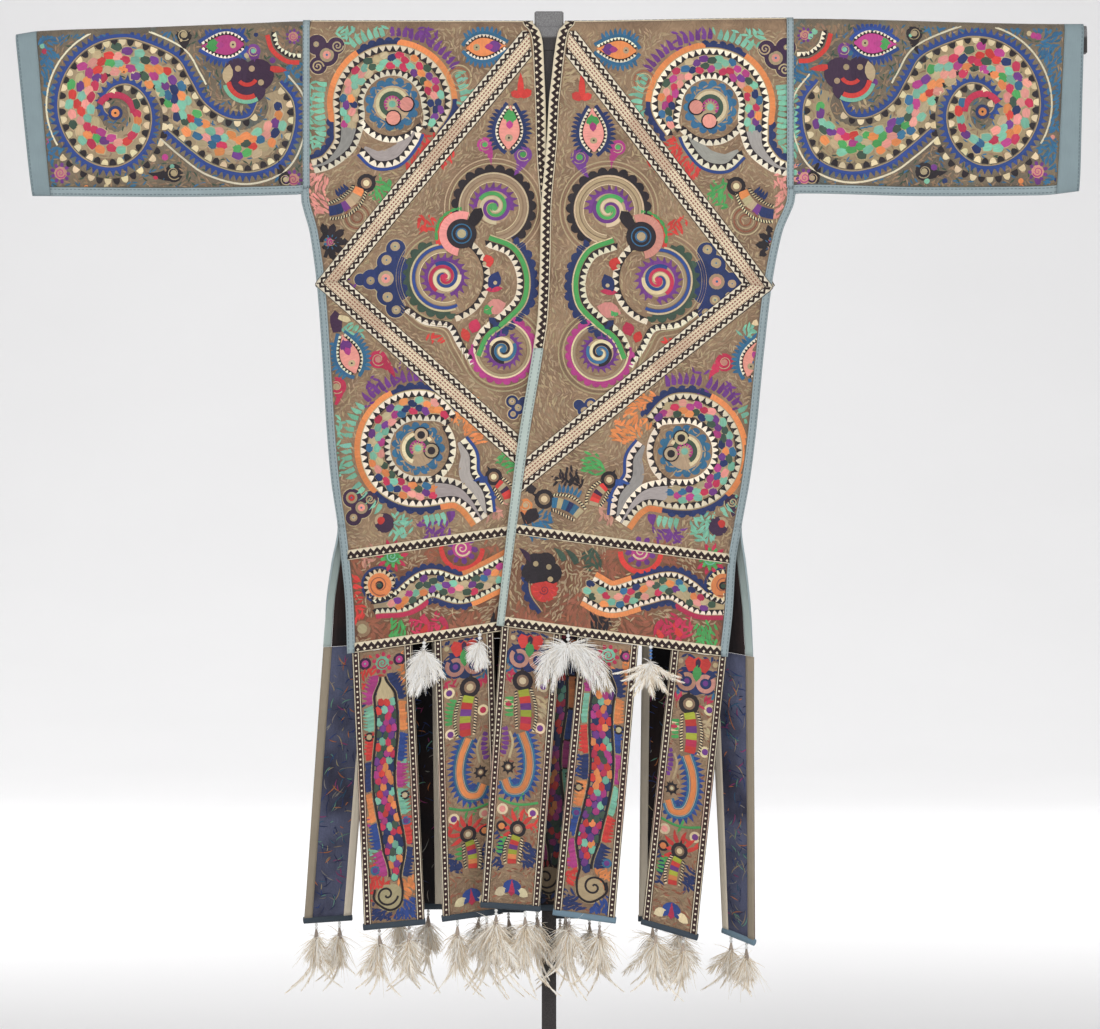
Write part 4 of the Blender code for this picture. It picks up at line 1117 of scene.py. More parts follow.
def add_strips():
    for strip in STRIP_TABLE:
        name, panel = strip[:2]
        face = PANEL_FACES[panel][0]
        place, width, length = strip_place(strip)
        down = spaced(0.0, length, ROW_STEP)
        u, v = np.meshgrid(np.linspace(-width / 2, width / 2, 15), down)
        points = place(u, v)
        # front_right_3 hangs in shadow behind the other strips, so its outer face takes the black lining as
        # painted shade
        silk = BLACK if name == "front_right_3" else BODY_SILK
        lining = INDIGO if "right_1" in name or "left_3" in name else BLACK
        made = grid_piece(
            f"strip_{name}_cloth", points, paired(u, v), (silk, lining),
            "strip_silk" if face == FRONT else "dark_lining", "strip_" + name, wall=0.0018,
            outward=(0, face, 0),
        )
        sewn_on = []
        for number, edge in enumerate((-1, 1)):
            u, v = np.meshgrid(edge * (width / 2 - np.linspace(0, STRIP_TAPE, 4)), down)
            sewn_on.append(
                grid_piece(
                    f"tape_{name}_{number}", raised(place, u, v, np.full(u.shape, 0.0014)),
                    paired(v, np.abs(edge * width / 2 - u)), (TAPE,), "woven_braid", wall=0.0009,
                    outward=(0, face, 0),
                )
            )
            border = (CREAM_EDGE, BEIGE_EDGE)[number if "right" in name else 1 - number]
            u, v = np.meshgrid(edge * (width / 2 + 0.0006 - np.linspace(0, 0.011, 4)), down)
            sewn_on.append(
                grid_piece(
                    f"facing_{name}_{number}", raised(place, u, v, np.full(u.shape, -0.0013)),
                    paired(v, np.abs(u)), (border,), "dark_lining", wall=0.0007, outward=(0, -face, 0),
                )
            )
        declare(made, points, [f"hem_panel_{panel}_cloth"], sewn_on)


add_body()
add_sleeves()
add_hem_bands()
add_front_bands()
add_diamonds()
add_shoulder_trims()
add_strips()


# Embroidery, laid out flat and then stitched down

CLOTH_FACE = 0.0009
SHAPES = {
    "tooth": lambda t: 1 - t,
    "dome": lambda t: np.sqrt(1 - t * t),
    "leaf": lambda t: np.sin(np.pi * t) ** 0.8,
    "petal": lambda t: np.sqrt(1 - t * t) * (0.55 + 0.75 * t),
    "flame": lambda t: (1 - t) * (0.6 + 1.5 * t),
    "block": lambda t: np.ones_like(t),
}


def unit(vectors):
    return vectors / np.maximum(np.linalg.norm(vectors, axis=-1, keepdims=True), 1e-9)


def sideways(run):
    """Flat directions turned to their side."""
    return np.stack([-run[..., 1], run[..., 0]], axis=-1)


def heading(aim):
    """A direction of length 1, and the one to its side."""
    aim = np.array(aim, float) / np.hypot(*aim)
    return aim, sideways(aim)


def arc(centre, radius, start, end, count=64):
    """Points round a centre. Degrees run clockwise from the right, and the radius may change."""
    angle = np.radians(np.linspace(start, end, count))
    first, last = radius if isinstance(radius, tuple) else (radius, radius)
    reach = np.linspace(first, last, count)[:, None]
    return np.array(centre) + reach * np.stack([np.cos(angle), np.sin(angle)], axis=-1)


def evenly(path, pitch):
    """Points a pitch apart along a path, with their run and the direction to its side."""
    along = run_along(path)
    places = spaced(0.0, along[-1], pitch)
    points = np.stack([np.interp(places, along, path[:, i]) for i in (0, 1)], axis=-1)
    run = unit(np.gradient(points, axis=0))
    return points, run, sideways(run)


def curve_through(points, pitch=0.003):
    """A smooth path through a few points."""
    points = np.array(points, float)
    padded = np.concatenate([2 * points[:1] - points[1:2], points, 2 * points[-1:] - points[-2:-1]])
    t = np.linspace(0, 1, 12, endpoint=False)[:, None]
    parts = []
    for a, b, c, d in zip(padded, padded[1:], padded[2:], padded[3:]):
        square, cube = 2 * a - 5 * b + 4 * c - d, 3 * b - a - 3 * c + d
        parts.append(0.5 * (2 * b + (c - a) * t + square * t**2 + cube * t**3))
    path = np.concatenate([*parts, points[-1:]])
    return evenly(path, pitch)[0]


def line(path):
    """A path as it is, or a smooth one through a list of points."""
    return curve_through(path) if isinstance(path, list) else path


def beside(path, distance):
    """The path moved to its side."""
    return path + sideways(unit(np.gradient(path, axis=0))) * np.reshape(distance, (-1, 1))


def lengths(path, parts):
    """A path cut into lengths that share their ends."""
    steps = np.linspace(0, len(path) - 1, parts + 1).astype(int)
    return [path[first : last + 1] for first, last in zip(steps, steps[1:])]


class Heap:
    """Many small grids of points that become one object."""

    def __init__(self, seed):
        self.rng = np.random.default_rng(seed)
        self.points, self.uvs, self.colours, self.faces = [], [], [], []
        self.count = 0

    def grids(self, points, uvs, colours, flipped=False):
        """Adds grids of points of the same size, each in its own colour."""
        shape = points.shape[:3]
        count, rows, columns = shape
        faces = patch(rows, columns)[None] + (np.arange(count) * rows * columns)[:, None, None] + self.count
        faces = faces.reshape(-1, 4)
        self.faces.append(faces[:, ::-1] if flipped else faces)
        self.points.append(points.reshape(-1, points.shape[-1]))
        self.uvs.append(np.broadcast_to(uvs, (*shape, 2)).reshape(-1, 2))
        self.colours.append(np.broadcast_to(colours[:, None, None], (*shape, 3)).reshape(-1, 3))
        self.count += count * rows * columns


class Canvas(Heap):
    """Embroidery shapes over flat coordinates: metres across, and metres down."""

    def __init__(self, seed, hand=1, shift=(0.0, 0.0), light=1.0):
        super().__init__(seed)
        self.light = light
        self.hand = hand
        self.shift = np.array(shift)
        self.heights = []

    def pick(self, names, count, mixed=False):
        """Thread colours for a row of shapes: the names in turn or mixed, each slightly uneven."""
        names = [names] if isinstance(names, str) else names
        order = self.rng.integers(0, len(names), count) if mixed else np.arange(count) % len(names)
        colours = np.array([THREADS[name] for name in names])[order]
        # self.light scales every thread colour of a canvas; a low value is painted shade
        colours = colours * self.light
        return colours * self.rng.uniform(0.82, 1.18, (count, 1)) * self.rng.uniform(0.95, 1.05, (count, 3))

    def patches(self, places, heights, uvs, colours):
        self.heights.append(np.broadcast_to(heights, places.shape[:3]).reshape(-1) + CLOTH_FACE)
        self.grids(places * (self.hand, 1) + self.shift, uvs, colours, flipped=self.hand < 0)

    def ribbons(
        self, spines, halves, colour, crown=0.0006, base=0.0, lay="across", columns=3, mixed=False, lift=0.0
    ):
        """Domed ribbons along paths, half as wide as stated at each point of them."""
        spines = np.asarray(spines, float)
        spines = spines[None] if spines.ndim == 2 else spines
        count, length = spines.shape[:2]
        halves = np.broadcast_to(halves, (count, length))
        side = sideways(unit(np.gradient(spines, axis=1)))
        section = np.linspace(-1, 1, columns)
        offset = halves[..., None] * section
        places = spines[:, :, None] + side[:, :, None] * offset[..., None]
        steps = np.linalg.norm(np.diff(spines, axis=1), axis=2)
        along = np.concatenate([np.zeros((count, 1)), np.cumsum(steps, axis=1)], axis=1)
        along = along[..., None] + self.rng.uniform(0, 3, (count, 1, 1)) + offset * 0
        across = offset + self.rng.uniform(0, 3, (count, 1, 1))
        pair = {"across": (along, across), "along": (across, along), "twist": (along + 1.4 * offset, across)}
        heights = base + crown * (1 - section**2) + self.rng.uniform(0, 0.00012, (count, 1, 1))
        heights = heights + lift * np.linspace(0, 1, length)[:, None]
        colours = colour if isinstance(colour, np.ndarray) else self.pick(colour, count, mixed)
        self.patches(places, heights, np.stack(pair[lay], axis=-1), colours)

    def stamps(self, places, aims, length, half, colour, shape, bend=0.0, points=5, **how):
        """Small shapes that grow from places in the directions of their aims."""
        t = np.linspace(0, 1, points)
        count = len(places)
        length = np.broadcast_to(length, count) * self.rng.uniform(0.9, 1.1, count)
        half = np.broadcast_to(half, count)
        side = sideways(aims)
        spines = places[:, None] + aims[:, None] * (length[:, None] * t)[..., None]
        spines = spines + side[:, None] * (np.reshape(bend * length, (-1, 1)) * t * t)[..., None]
        self.ribbons(spines, half[:, None] * SHAPES[shape](t), colour, **how)

    def discs(self, centres, radii, colour, crown=0.0006, base=0.0, turn=14, mixed=False):
        centres = np.atleast_2d(centres)
        count = len(centres)
        radii = np.broadcast_to(radii, count)[:, None, None]
        angle = np.linspace(2 * np.pi, 0, turn + 1)[:, None]
        ring = np.array([0.0, 1 / 3 + 0.3, 1.0])
        reach = np.stack([np.cos(angle) * ring, np.sin(angle) * ring], axis=-1)
        places = centres[:, None, None] + radii[..., None] * reach
        twist = self.rng.uniform(0, np.pi, (count, 1, 1))
        across, along = radii * reach[..., 0], radii * reach[..., 1]
        u = across * np.cos(twist) + along * np.sin(twist) + self.rng.uniform(0, 3, (count, 1, 1))
        v = along * np.cos(twist) - across * np.sin(twist)
        heights = base + crown * (1 - ring**2)
        self.patches(places, heights + angle * 0, np.stack([u, v], axis=-1), self.pick(colour, count, mixed))

    def cord(self, path, colour, half=0.0006, crown=0.0007, base=0.0001):
        """A couched cord along a path."""
        self.ribbons(evenly(line(path), 0.0028)[0], half, colour, crown=crown, base=base, lay="twist")

    def band(self, path, half, colour, crown=0.0005, base=0.0, columns=4, lay="across"):
        self.ribbons(line(path), half, colour, crown=crown, base=base, columns=columns, lay=lay)

    def row(self, path, pitch, side, length, half, colour, shape, tilt=0.0, bend=0.0, mixed=False, **how):
        """A row of shapes that stand on one side of a path."""
        points, run, normal = (part[:-1] for part in evenly(line(path), pitch))
        aims = normal * side * math.cos(tilt) + run * math.sin(tilt)
        colours = self.pick(colour, len(points), mixed)
        self.stamps(points, aims, length, half, colours, shape, bend=bend * side, **how)

    # Motifs

    def mark(self, place, aim, length, half, colour, shape="petal", base=0.0005, **how):
        """One leaf, flame or petal that grows from a place."""
        aims = heading(aim)[0][None]
        self.stamps(np.array([place]), aims, length, half, colour, shape, base=base, **how)

    def disc(self, place, radius, *colours, base=0.0004):
        """A disc with smaller ones on it, each outlined by the colour before."""
        for i, colour in enumerate(colours):
            self.discs([place], radius * (1 - 0.42 * i), colour, base=base + 0.00035 * i, crown=0.0004)

    def coil(self, centre, radius, start, hand, colour, half=0.0007, turns=1.75, base=0.0003):
        """A cord wound in from a circle to its centre."""
        path = arc(centre, (radius, radius * 0.12), start, start + hand * 360 * turns, 40)
        self.cord(path, colour, half=half, crown=0.0008, base=base)

    def rosette(self, centre, radius, petals, ring, heart):
        """A ring of petals round a coiled heart."""
        edge = arc(centre, radius * 0.62, 0, 360, 40)
        self.row(edge, radius * 0.42, -1, radius * 0.42, radius * 0.22, petals, "petal", base=0.0001)
        self.discs([centre], radius * 0.66, ring, base=0.0002)
        self.coil(centre, radius * 0.52, 20, 1, heart, half=radius * 0.07)

    def scales(self, path, halves, colours, size=0.011, rim="straw"):
        """Overlapping scales that fill a band."""
        points, run, normal = evenly(path, size * 0.80)
        reach = np.interp(np.linspace(0, 1, len(points)), np.linspace(0, 1, len(halves)), halves)
        for number, (point, ahead, side, half) in enumerate(zip(points, run, normal, reach)):
            across = int(2 * half / (size * 0.84) + 0.25)
            if across < 1:
                continue
            spread = (np.arange(across) - (across - 1) / 2) * 2 * half / (across + 0.2)
            spread = spread + (size * 0.2 if number % 2 else -size * 0.2) * (across > 1)
            spots = point + side * spread[:, None] + self.rng.normal(0, size * 0.06, (across, 2))
            turn = self.rng.normal(0, 0.3, across)
            aims = ahead * np.cos(turn)[:, None] + side * np.sin(turn)[:, None]
            self.stamps(
                spots - aims * size * 0.62, aims, size * 1.26, size * 0.61, rim, "petal", base=0.0003,
                crown=0.0003, lift=0.0004,
            )
            self.stamps(
                spots - aims * size * 0.5, aims, size * 1.04, size * 0.51, self.pick(colours, across, True),
                "petal", base=0.0006, crown=0.0006, points=6, lay="along", lift=0.0004,
            )

    def saw(self, path, side, colour="royal", size=0.0080, edge="straw"):
        """A solid band with a row of teeth on one side, and a couched cord on the other."""
        self.band(path, 0.0021, colour, base=0.0003, lay="along")
        self.row(
            beside(path, side * 0.0012), size, side, size, size * 0.44, colour, "tooth", base=0.0002, points=3
        )
        self.cord(beside(path, -side * 0.0030), edge, half=0.0007)

    def toothed(self, path, side=1, size=0.0072, pale="ivory", dark="black"):
        """Dark teeth on a pale ribbon."""
        path = line(path)
        self.band(beside(path, side * size * 0.5), size * 0.56, pale, base=0.0001)
        self.row(path, size * 1.22, side, size * 0.98, size * 0.50, dark, "tooth", base=0.0005, points=3)
        self.cord(beside(path, -side * 0.0005), dark, half=0.0007)

    def beads(self, path, side, size=0.0046, colours=("cream", "black")):
        """Half discs in turn light and dark, set along a line."""
        self.row(
            path, size * 2.35, side, size * 1.75, size, colours, "dome", base=0.0004, crown=0.0008, points=6
        )

    def flames(self, path, side, length, colour, pitch=0.006, bend=0.35):
        self.row(path, pitch, side, length, pitch * 0.62, colour, "flame", tilt=0.35, bend=bend, base=0.0001)

    def segmented(self, path, half, colours, parts, **how):
        """A band in lengths of different colours."""
        for i, piece in enumerate(lengths(path, parts)):
            self.band(piece, half, colours[i % len(colours)], **how)

    def scallops(self, path, side, colours, size=0.0062, parts=5, smooth=()):
        """A band with a scalloped outer edge, in lengths of different colours."""
        path = line(path)
        for i, piece in enumerate(lengths(path, parts)):
            colour = colours[i % len(colours)]
            self.band(piece, size * (0.62 if colour in smooth else 0.45), colour, base=0.0002)
            if colour not in smooth:
                self.row(
                    piece, size * 1.9, side, size * 1.05, size * 0.95, colour, "dome", base=0.0001, points=6
                )
        self.cord(beside(path, -side * size * 0.66), "straw", half=0.0006)

    def echo(self, path, side, gap, count, colours=("straw", "umber")):
        """Couched cords that follow a line at growing distances."""
        for i in range(count):
            self.cord(
                beside(line(path), side * gap * (i + 1)), colours[i % len(colours)], half=0.0009, base=0.0
            )

    def cloud(self, centre, size, lobes, colour, discs, curls=()):
        """A dark cloud of round lobes, edged in a pale cord, with discs and curls on it."""
        centre = np.array(centre)
        for grown, thread, base in ((0.0024, colour, 0.0), (0.0012, "straw", 0.0002), (0.0, colour, 0.0004)):
            for dx, dy, radius in lobes:
                spot = centre + (dx * size, dy * size)
                self.discs([spot], radius * size + grown, thread, base=base, crown=0.0003, turn=20)
        for dx, dy, radius, thread in discs:
            self.disc(
                centre + (dx * size, dy * size), radius * size + 0.0008, "tan", thread, "teal", base=0.0006
            )
        for dx, dy, radius, hand in curls:
            self.coil(
                centre + (dx * size, dy * size), radius * size, 0, hand, "straw", half=0.0010, base=0.0006
            )

    def ringed(self, centre, radius, aim):
        """A black round head with a pale disc and a short beak."""
        self.mark(
            np.array(centre) + np.array(aim) * radius * 0.6, aim, radius * 0.8, radius * 0.3, "black",
            "tooth", base=0.0003,
        )
        self.discs([centre], radius, "black", base=0.0004)
        self.disc(centre, radius * 0.58, "umber", "cream", base=0.0009)

    def bird(self, head, aim, length, body, wing, bend=0.0, width=0.0105):
        """A small bird from above: a ringed head, a banded body with dashed edges, and a wing."""
        head = np.array(head, float)
        aim, side = heading(aim)
        t = np.linspace(0, 1, 19)[:, None]
        spine = head + aim * width * 0.9 + aim * length * t + side * bend * length * t * (1 - t) * 4
        half = width * (0.62 + 0.22 * np.sin(np.pi * t[:, 0] * 0.9))
        self.flames(beside(spine, half * 1.6)[3:14], 1, width * 0.9, wing, pitch=0.0050)
        self.segmented(spine, width * 0.56, body, 6, base=0.0004)
        for edge in (-1, 1):
            rim = beside(spine, edge * half * 1.25)
            self.band(rim, 0.0017, "cream", base=0.0006, columns=3)
            self.row(
                beside(rim, -edge * 0.0018), 0.0036, edge, 0.0042, 0.0009, "black", "block",
                base=0.0011, points=2, tilt=0.4,
            )
        self.ringed(head, width * 1.08, -aim)

    def fish(self, place, aim, length, edge, body):
        """A leaf-shaped fish with an eye, a toothed rim and short fins all round."""
        place = np.array(place, float)
        aim, side = heading(aim)
        t = np.linspace(0, 1, 26)[:, None]
        spread = np.sin(np.pi * t**0.8) * length * 0.25
        spine = place + aim * length * t
        for turn in (-1, 1):
            rim = spine + side * spread * turn
            self.band(beside(rim, turn * 0.0056), 0.0026, edge, base=0.0001, lay="along")
            self.flames(beside(rim[3:-4], turn * 0.0066), turn, 0.0085, edge, pitch=0.0052)
            self.toothed(rim[1:-1], turn, 0.0038)
        self.band(spine, spread[:, 0] * 0.95 + 0.0003, body[0], base=0.0003, columns=5)
        self.mark(place + aim * length * 0.50, aim, length * 0.40, length * 0.15, body[1], "leaf")
        self.mark(
            place + aim * length * 0.46, aim, length * 0.22, length * 0.08, "magenta", "leaf", base=0.0009
        )
        self.disc(place + aim * length * 0.26, length * 0.15, edge, "straw", "black")

    def curl(self, centre, radius, aim, colour, heart):
        """A round curl with a tail."""
        centre, aim = np.array(centre, float), heading(aim)[0]
        self.mark(
            centre + aim * radius * 0.3, aim, radius * 2.3, radius * 0.8, colour, "tooth", base=0.0001,
            bend=0.4, points=7,
        )
        self.discs([centre], radius, colour, base=0.0001)
        self.coil(centre, radius * 0.74, 40, 1, "straw", half=0.0007)
        self.discs([centre], radius * 0.36, heart, base=0.0007, turn=8)

    def whorl(self, centre, radius, start, hand, ring, sweep, bands, teeth, teeth_sweep, cords):
        """A great round figure: a scalloped ring, bands and teeth round a coil of three cords."""

        def circle(share, first=0, turn=sweep):
            return arc(centre, radius * share, start + hand * first, start + hand * (first + turn))

        self.echo(circle(1.12), -hand, 0.0030, 3)
        self.band(circle(0.99), radius * 0.05, ring, base=0.0003, lay="along")
        self.row(
            circle(1.0), radius * 0.27, -hand, radius * 0.15, radius * 0.135, ring, "dome", base=0.0002,
            points=6,
        )
        self.cord(circle(0.91, -10, sweep + 20), "cream", half=0.0011)
        for i, colour in enumerate(bands):
            self.band(
                circle(0.83 - 0.10 * i, -15, sweep + 40), radius * 0.045, colour, base=0.0001, lay="along"
            )
            self.cord(circle(0.78 - 0.10 * i, -15, sweep + 40), ("umber", "cream")[i % 2], half=0.0006)
        self.band(circle(0.49, 10, teeth_sweep), radius * 0.05, teeth, base=0.0002)
        self.row(
            circle(0.50, 10, teeth_sweep), radius * 0.155, -hand, radius * 0.19, radius * 0.065, teeth,
            "tooth", base=0.0003, points=4, tilt=0.3,
        )
        self.discs([centre], radius * 0.45, "tan", base=0.0001, crown=0.0003, turn=20)
        for i, colour in enumerate(cords):
            first, reach = start + 40 + 115 * i, radius * 0.42
            path = arc(centre, (reach, radius * 0.05), first, first + hand * 430, 60)
            self.ribbons(path, radius * np.linspace(0.055, 0.028, 60), colour, base=0.0004, lay="along")
        self.disc(centre, radius * 0.11, cords[0], base=0.0008)

    def comma(self, centre, radius, start, tail, lobe, rims, flame_colours, eyes):
        """The great comma: a scaled band that sweeps round a scalloped core and ends in a tail."""
        centre = np.array(centre)
        ring = arc(centre, radius, start, start - 240, 60)
        path = evenly(curve_through([*ring[::4], *(centre + np.array(p) * radius for p in tail)]), 0.003)[0]
        share = np.linspace(0, 1, len(path))
        half = radius * 0.215 * (0.25 + 0.75 * ramp(0.0, 0.12, share)) * (1 - ramp(0.70, 1.0, share) * 0.9)
        self.band(path, half, "tan", base=0.0, crown=0.0002, columns=5, lay="along")
        body = int(len(path) * 0.76)
        self.scales(path[:body], half[:body] * 0.92, SCALE_COLOURS, size=0.0112)
        self.band(path[body:], half[body:] * 0.9, "grey", base=0.0009, columns=5, lay="along")
        self.toothed(arc(centre, radius * 0.745, start + 4, start + 116), -1)
        for edge in (-1, 1):
            self.toothed(beside(path, edge * half), edge)
        outside = beside(path, half + 0.0118)
        self.scallops(outside, 1, rims, parts=len(rims), smooth=("orange", "grey"))
        outer = beside(path, half + 0.0195)
        steps = np.linspace(0, len(outer) * 0.92, len(flame_colours) + 1).astype(int)
        for colour, first, last in zip(flame_colours, steps, steps[1:]):
            if colour:
                self.flames(outer[first:last], 1, 0.0150, colour, pitch=0.0072)
        lobe = curve_through([centre + np.array(p) * radius for p in lobe])
        swell = np.sin(np.pi * np.linspace(0.04, 0.96, len(lobe))) ** 0.7
        self.band(
            beside(lobe, -radius * 0.13 * swell), radius * 0.15 * swell + 0.0004, "grey", base=0.0001,
            lay="along",
        )
        self.toothed(lobe, 1)
        self.band(beside(lobe, 0.0100), 0.0019, "royal", base=0.0003, lay="along")
        core = radius * 0.53
        self.discs([centre], core, "teal", base=0.0002, crown=0.0003, turn=24)
        self.row(
            arc(centre, core * 0.97, 360, 0), core * 0.40, 1, core * 0.20, core * 0.20, "teal", "dome",
            points=6,
        )
        self.discs([centre], core * 0.80, "tan", base=0.0005, crown=0.0003, turn=20)
        self.band(arc(centre, core * 0.62, 110, 330), core * 0.09, "cream", base=0.0008)
        self.band(arc(centre, core * 0.46, 120, 380), core * 0.11, "moss", base=0.0009)
        self.row(
            arc(centre, core * 0.36, 380, 120), core * 0.16, -1, core * 0.16, core * 0.08, "magenta", "tooth",
            base=0.0010, points=3,
        )
        self.disc(centre, core * 0.26, "straw", "mint", base=0.0010)
        for turn in (-34, 52):
            angle = math.radians(turn + start)
            spot = centre + core * 0.60 * np.array((math.cos(angle), math.sin(angle)))
            self.discs([spot], core * 0.36, "black", base=0.0011)
            self.disc(spot, core * 0.30, *eyes, base=0.0014)

    def ground(self, low, high, cell, colours, zones=(), length=0.0085, half=0.0011):
        """Rows of ground stitches that follow the outlines round the shapes. In a zone they are
        flames that point away from them."""
        box = 0.0030
        taken = np.unique(np.floor(np.concatenate(self.points) / box).astype(int), axis=0)
        taken = (taken + 0.5) * box
        if self.hand < 0 or self.shift.any():
            taken = (taken - self.shift) * (self.hand, 1)
        tree = kdtree.KDTree(len(taken))
        for number, spot in enumerate(taken):
            tree.insert((*spot, 0.0), number)
        tree.balance()
        across, down = np.arange(low[0], high[0], cell), np.arange(low[1], high[1], cell)
        spots = np.array([(x, y) for x in across for y in down])
        spots = spots + self.rng.uniform(0, cell, spots.shape)
        found = [tree.find((*spot, 0.0)) for spot in spots]
        near = np.array([tuple(item[0])[:2] for item in found])
        away = np.array([item[2] for item in found])
        spots, near, away = (part[away > box * 0.72] for part in (spots, near, away))
        aims = (spots - near) / away[:, None]
        turn = self.rng.normal(0, 0.16, len(spots))[:, None] + np.pi / 2
        cross = sideways(aims)
        lie = aims * np.cos(turn) + cross * np.sin(turn)
        stitch = self.pick(colours, len(spots), True)
        reach, wide = np.full(len(spots), length), np.full(len(spots), half)
        for x, drop, radius, colour in zones:
            limit = radius * self.rng.uniform(0.7, 1.1, len(spots))
            inside = np.hypot(spots[:, 0] - x, spots[:, 1] - drop) < limit
            lie[inside] = aims[inside] * 0.86 + cross[inside] * 0.5
            stitch[inside] = self.pick(colour, int(inside.sum()), True)
            reach[inside] = 0.0115
            wide[inside] = 0.0018
        self.stamps(
            spots - lie * reach[:, None] * 0.5, lie, reach, wide, stitch, "leaf",
            bend=self.rng.normal(0, 0.18, len(spots)), points=4, lay="along", columns=2, base=0.0003,
        )

    def build(self, name, cloth, place, keep, slot, side=1):
        """Makes the shapes that lie where keep() allows into one piece, sewn on a sheet of cloth."""
        places = np.concatenate(self.points)
        heights = np.concatenate(self.heights) * side
        faces = np.concatenate(self.faces)
        inside = keep(places[:, 0], places[:, 1])
        faces = faces[inside[faces].all(axis=1)]
        used, numbers = np.unique(faces, return_inverse=True)
        faces = numbers.reshape(faces.shape)
        places, heights = places[used], heights[used]
        points = raised(place, places[:, 0], places[:, 1], heights)
        outward = raised(place, places[:, 0], places[:, 1], heights + 0.001 * side) - points
        corners = points[faces]
        normals = np.cross(corners[:, 2] - corners[:, 0], corners[:, 3] - corners[:, 1])
        if np.einsum("ij,ij->", normals, outward[faces[:, 0]]) < 0:
            faces = faces[:, ::-1]
        uvs, colours = np.concatenate(self.uvs)[used], np.concatenate(self.colours)[used]
        made = new_object(name, points, faces, uvs, colours, (THREAD,))
        merged(made)
        sew_on(cloth, finish_piece(made, slot))


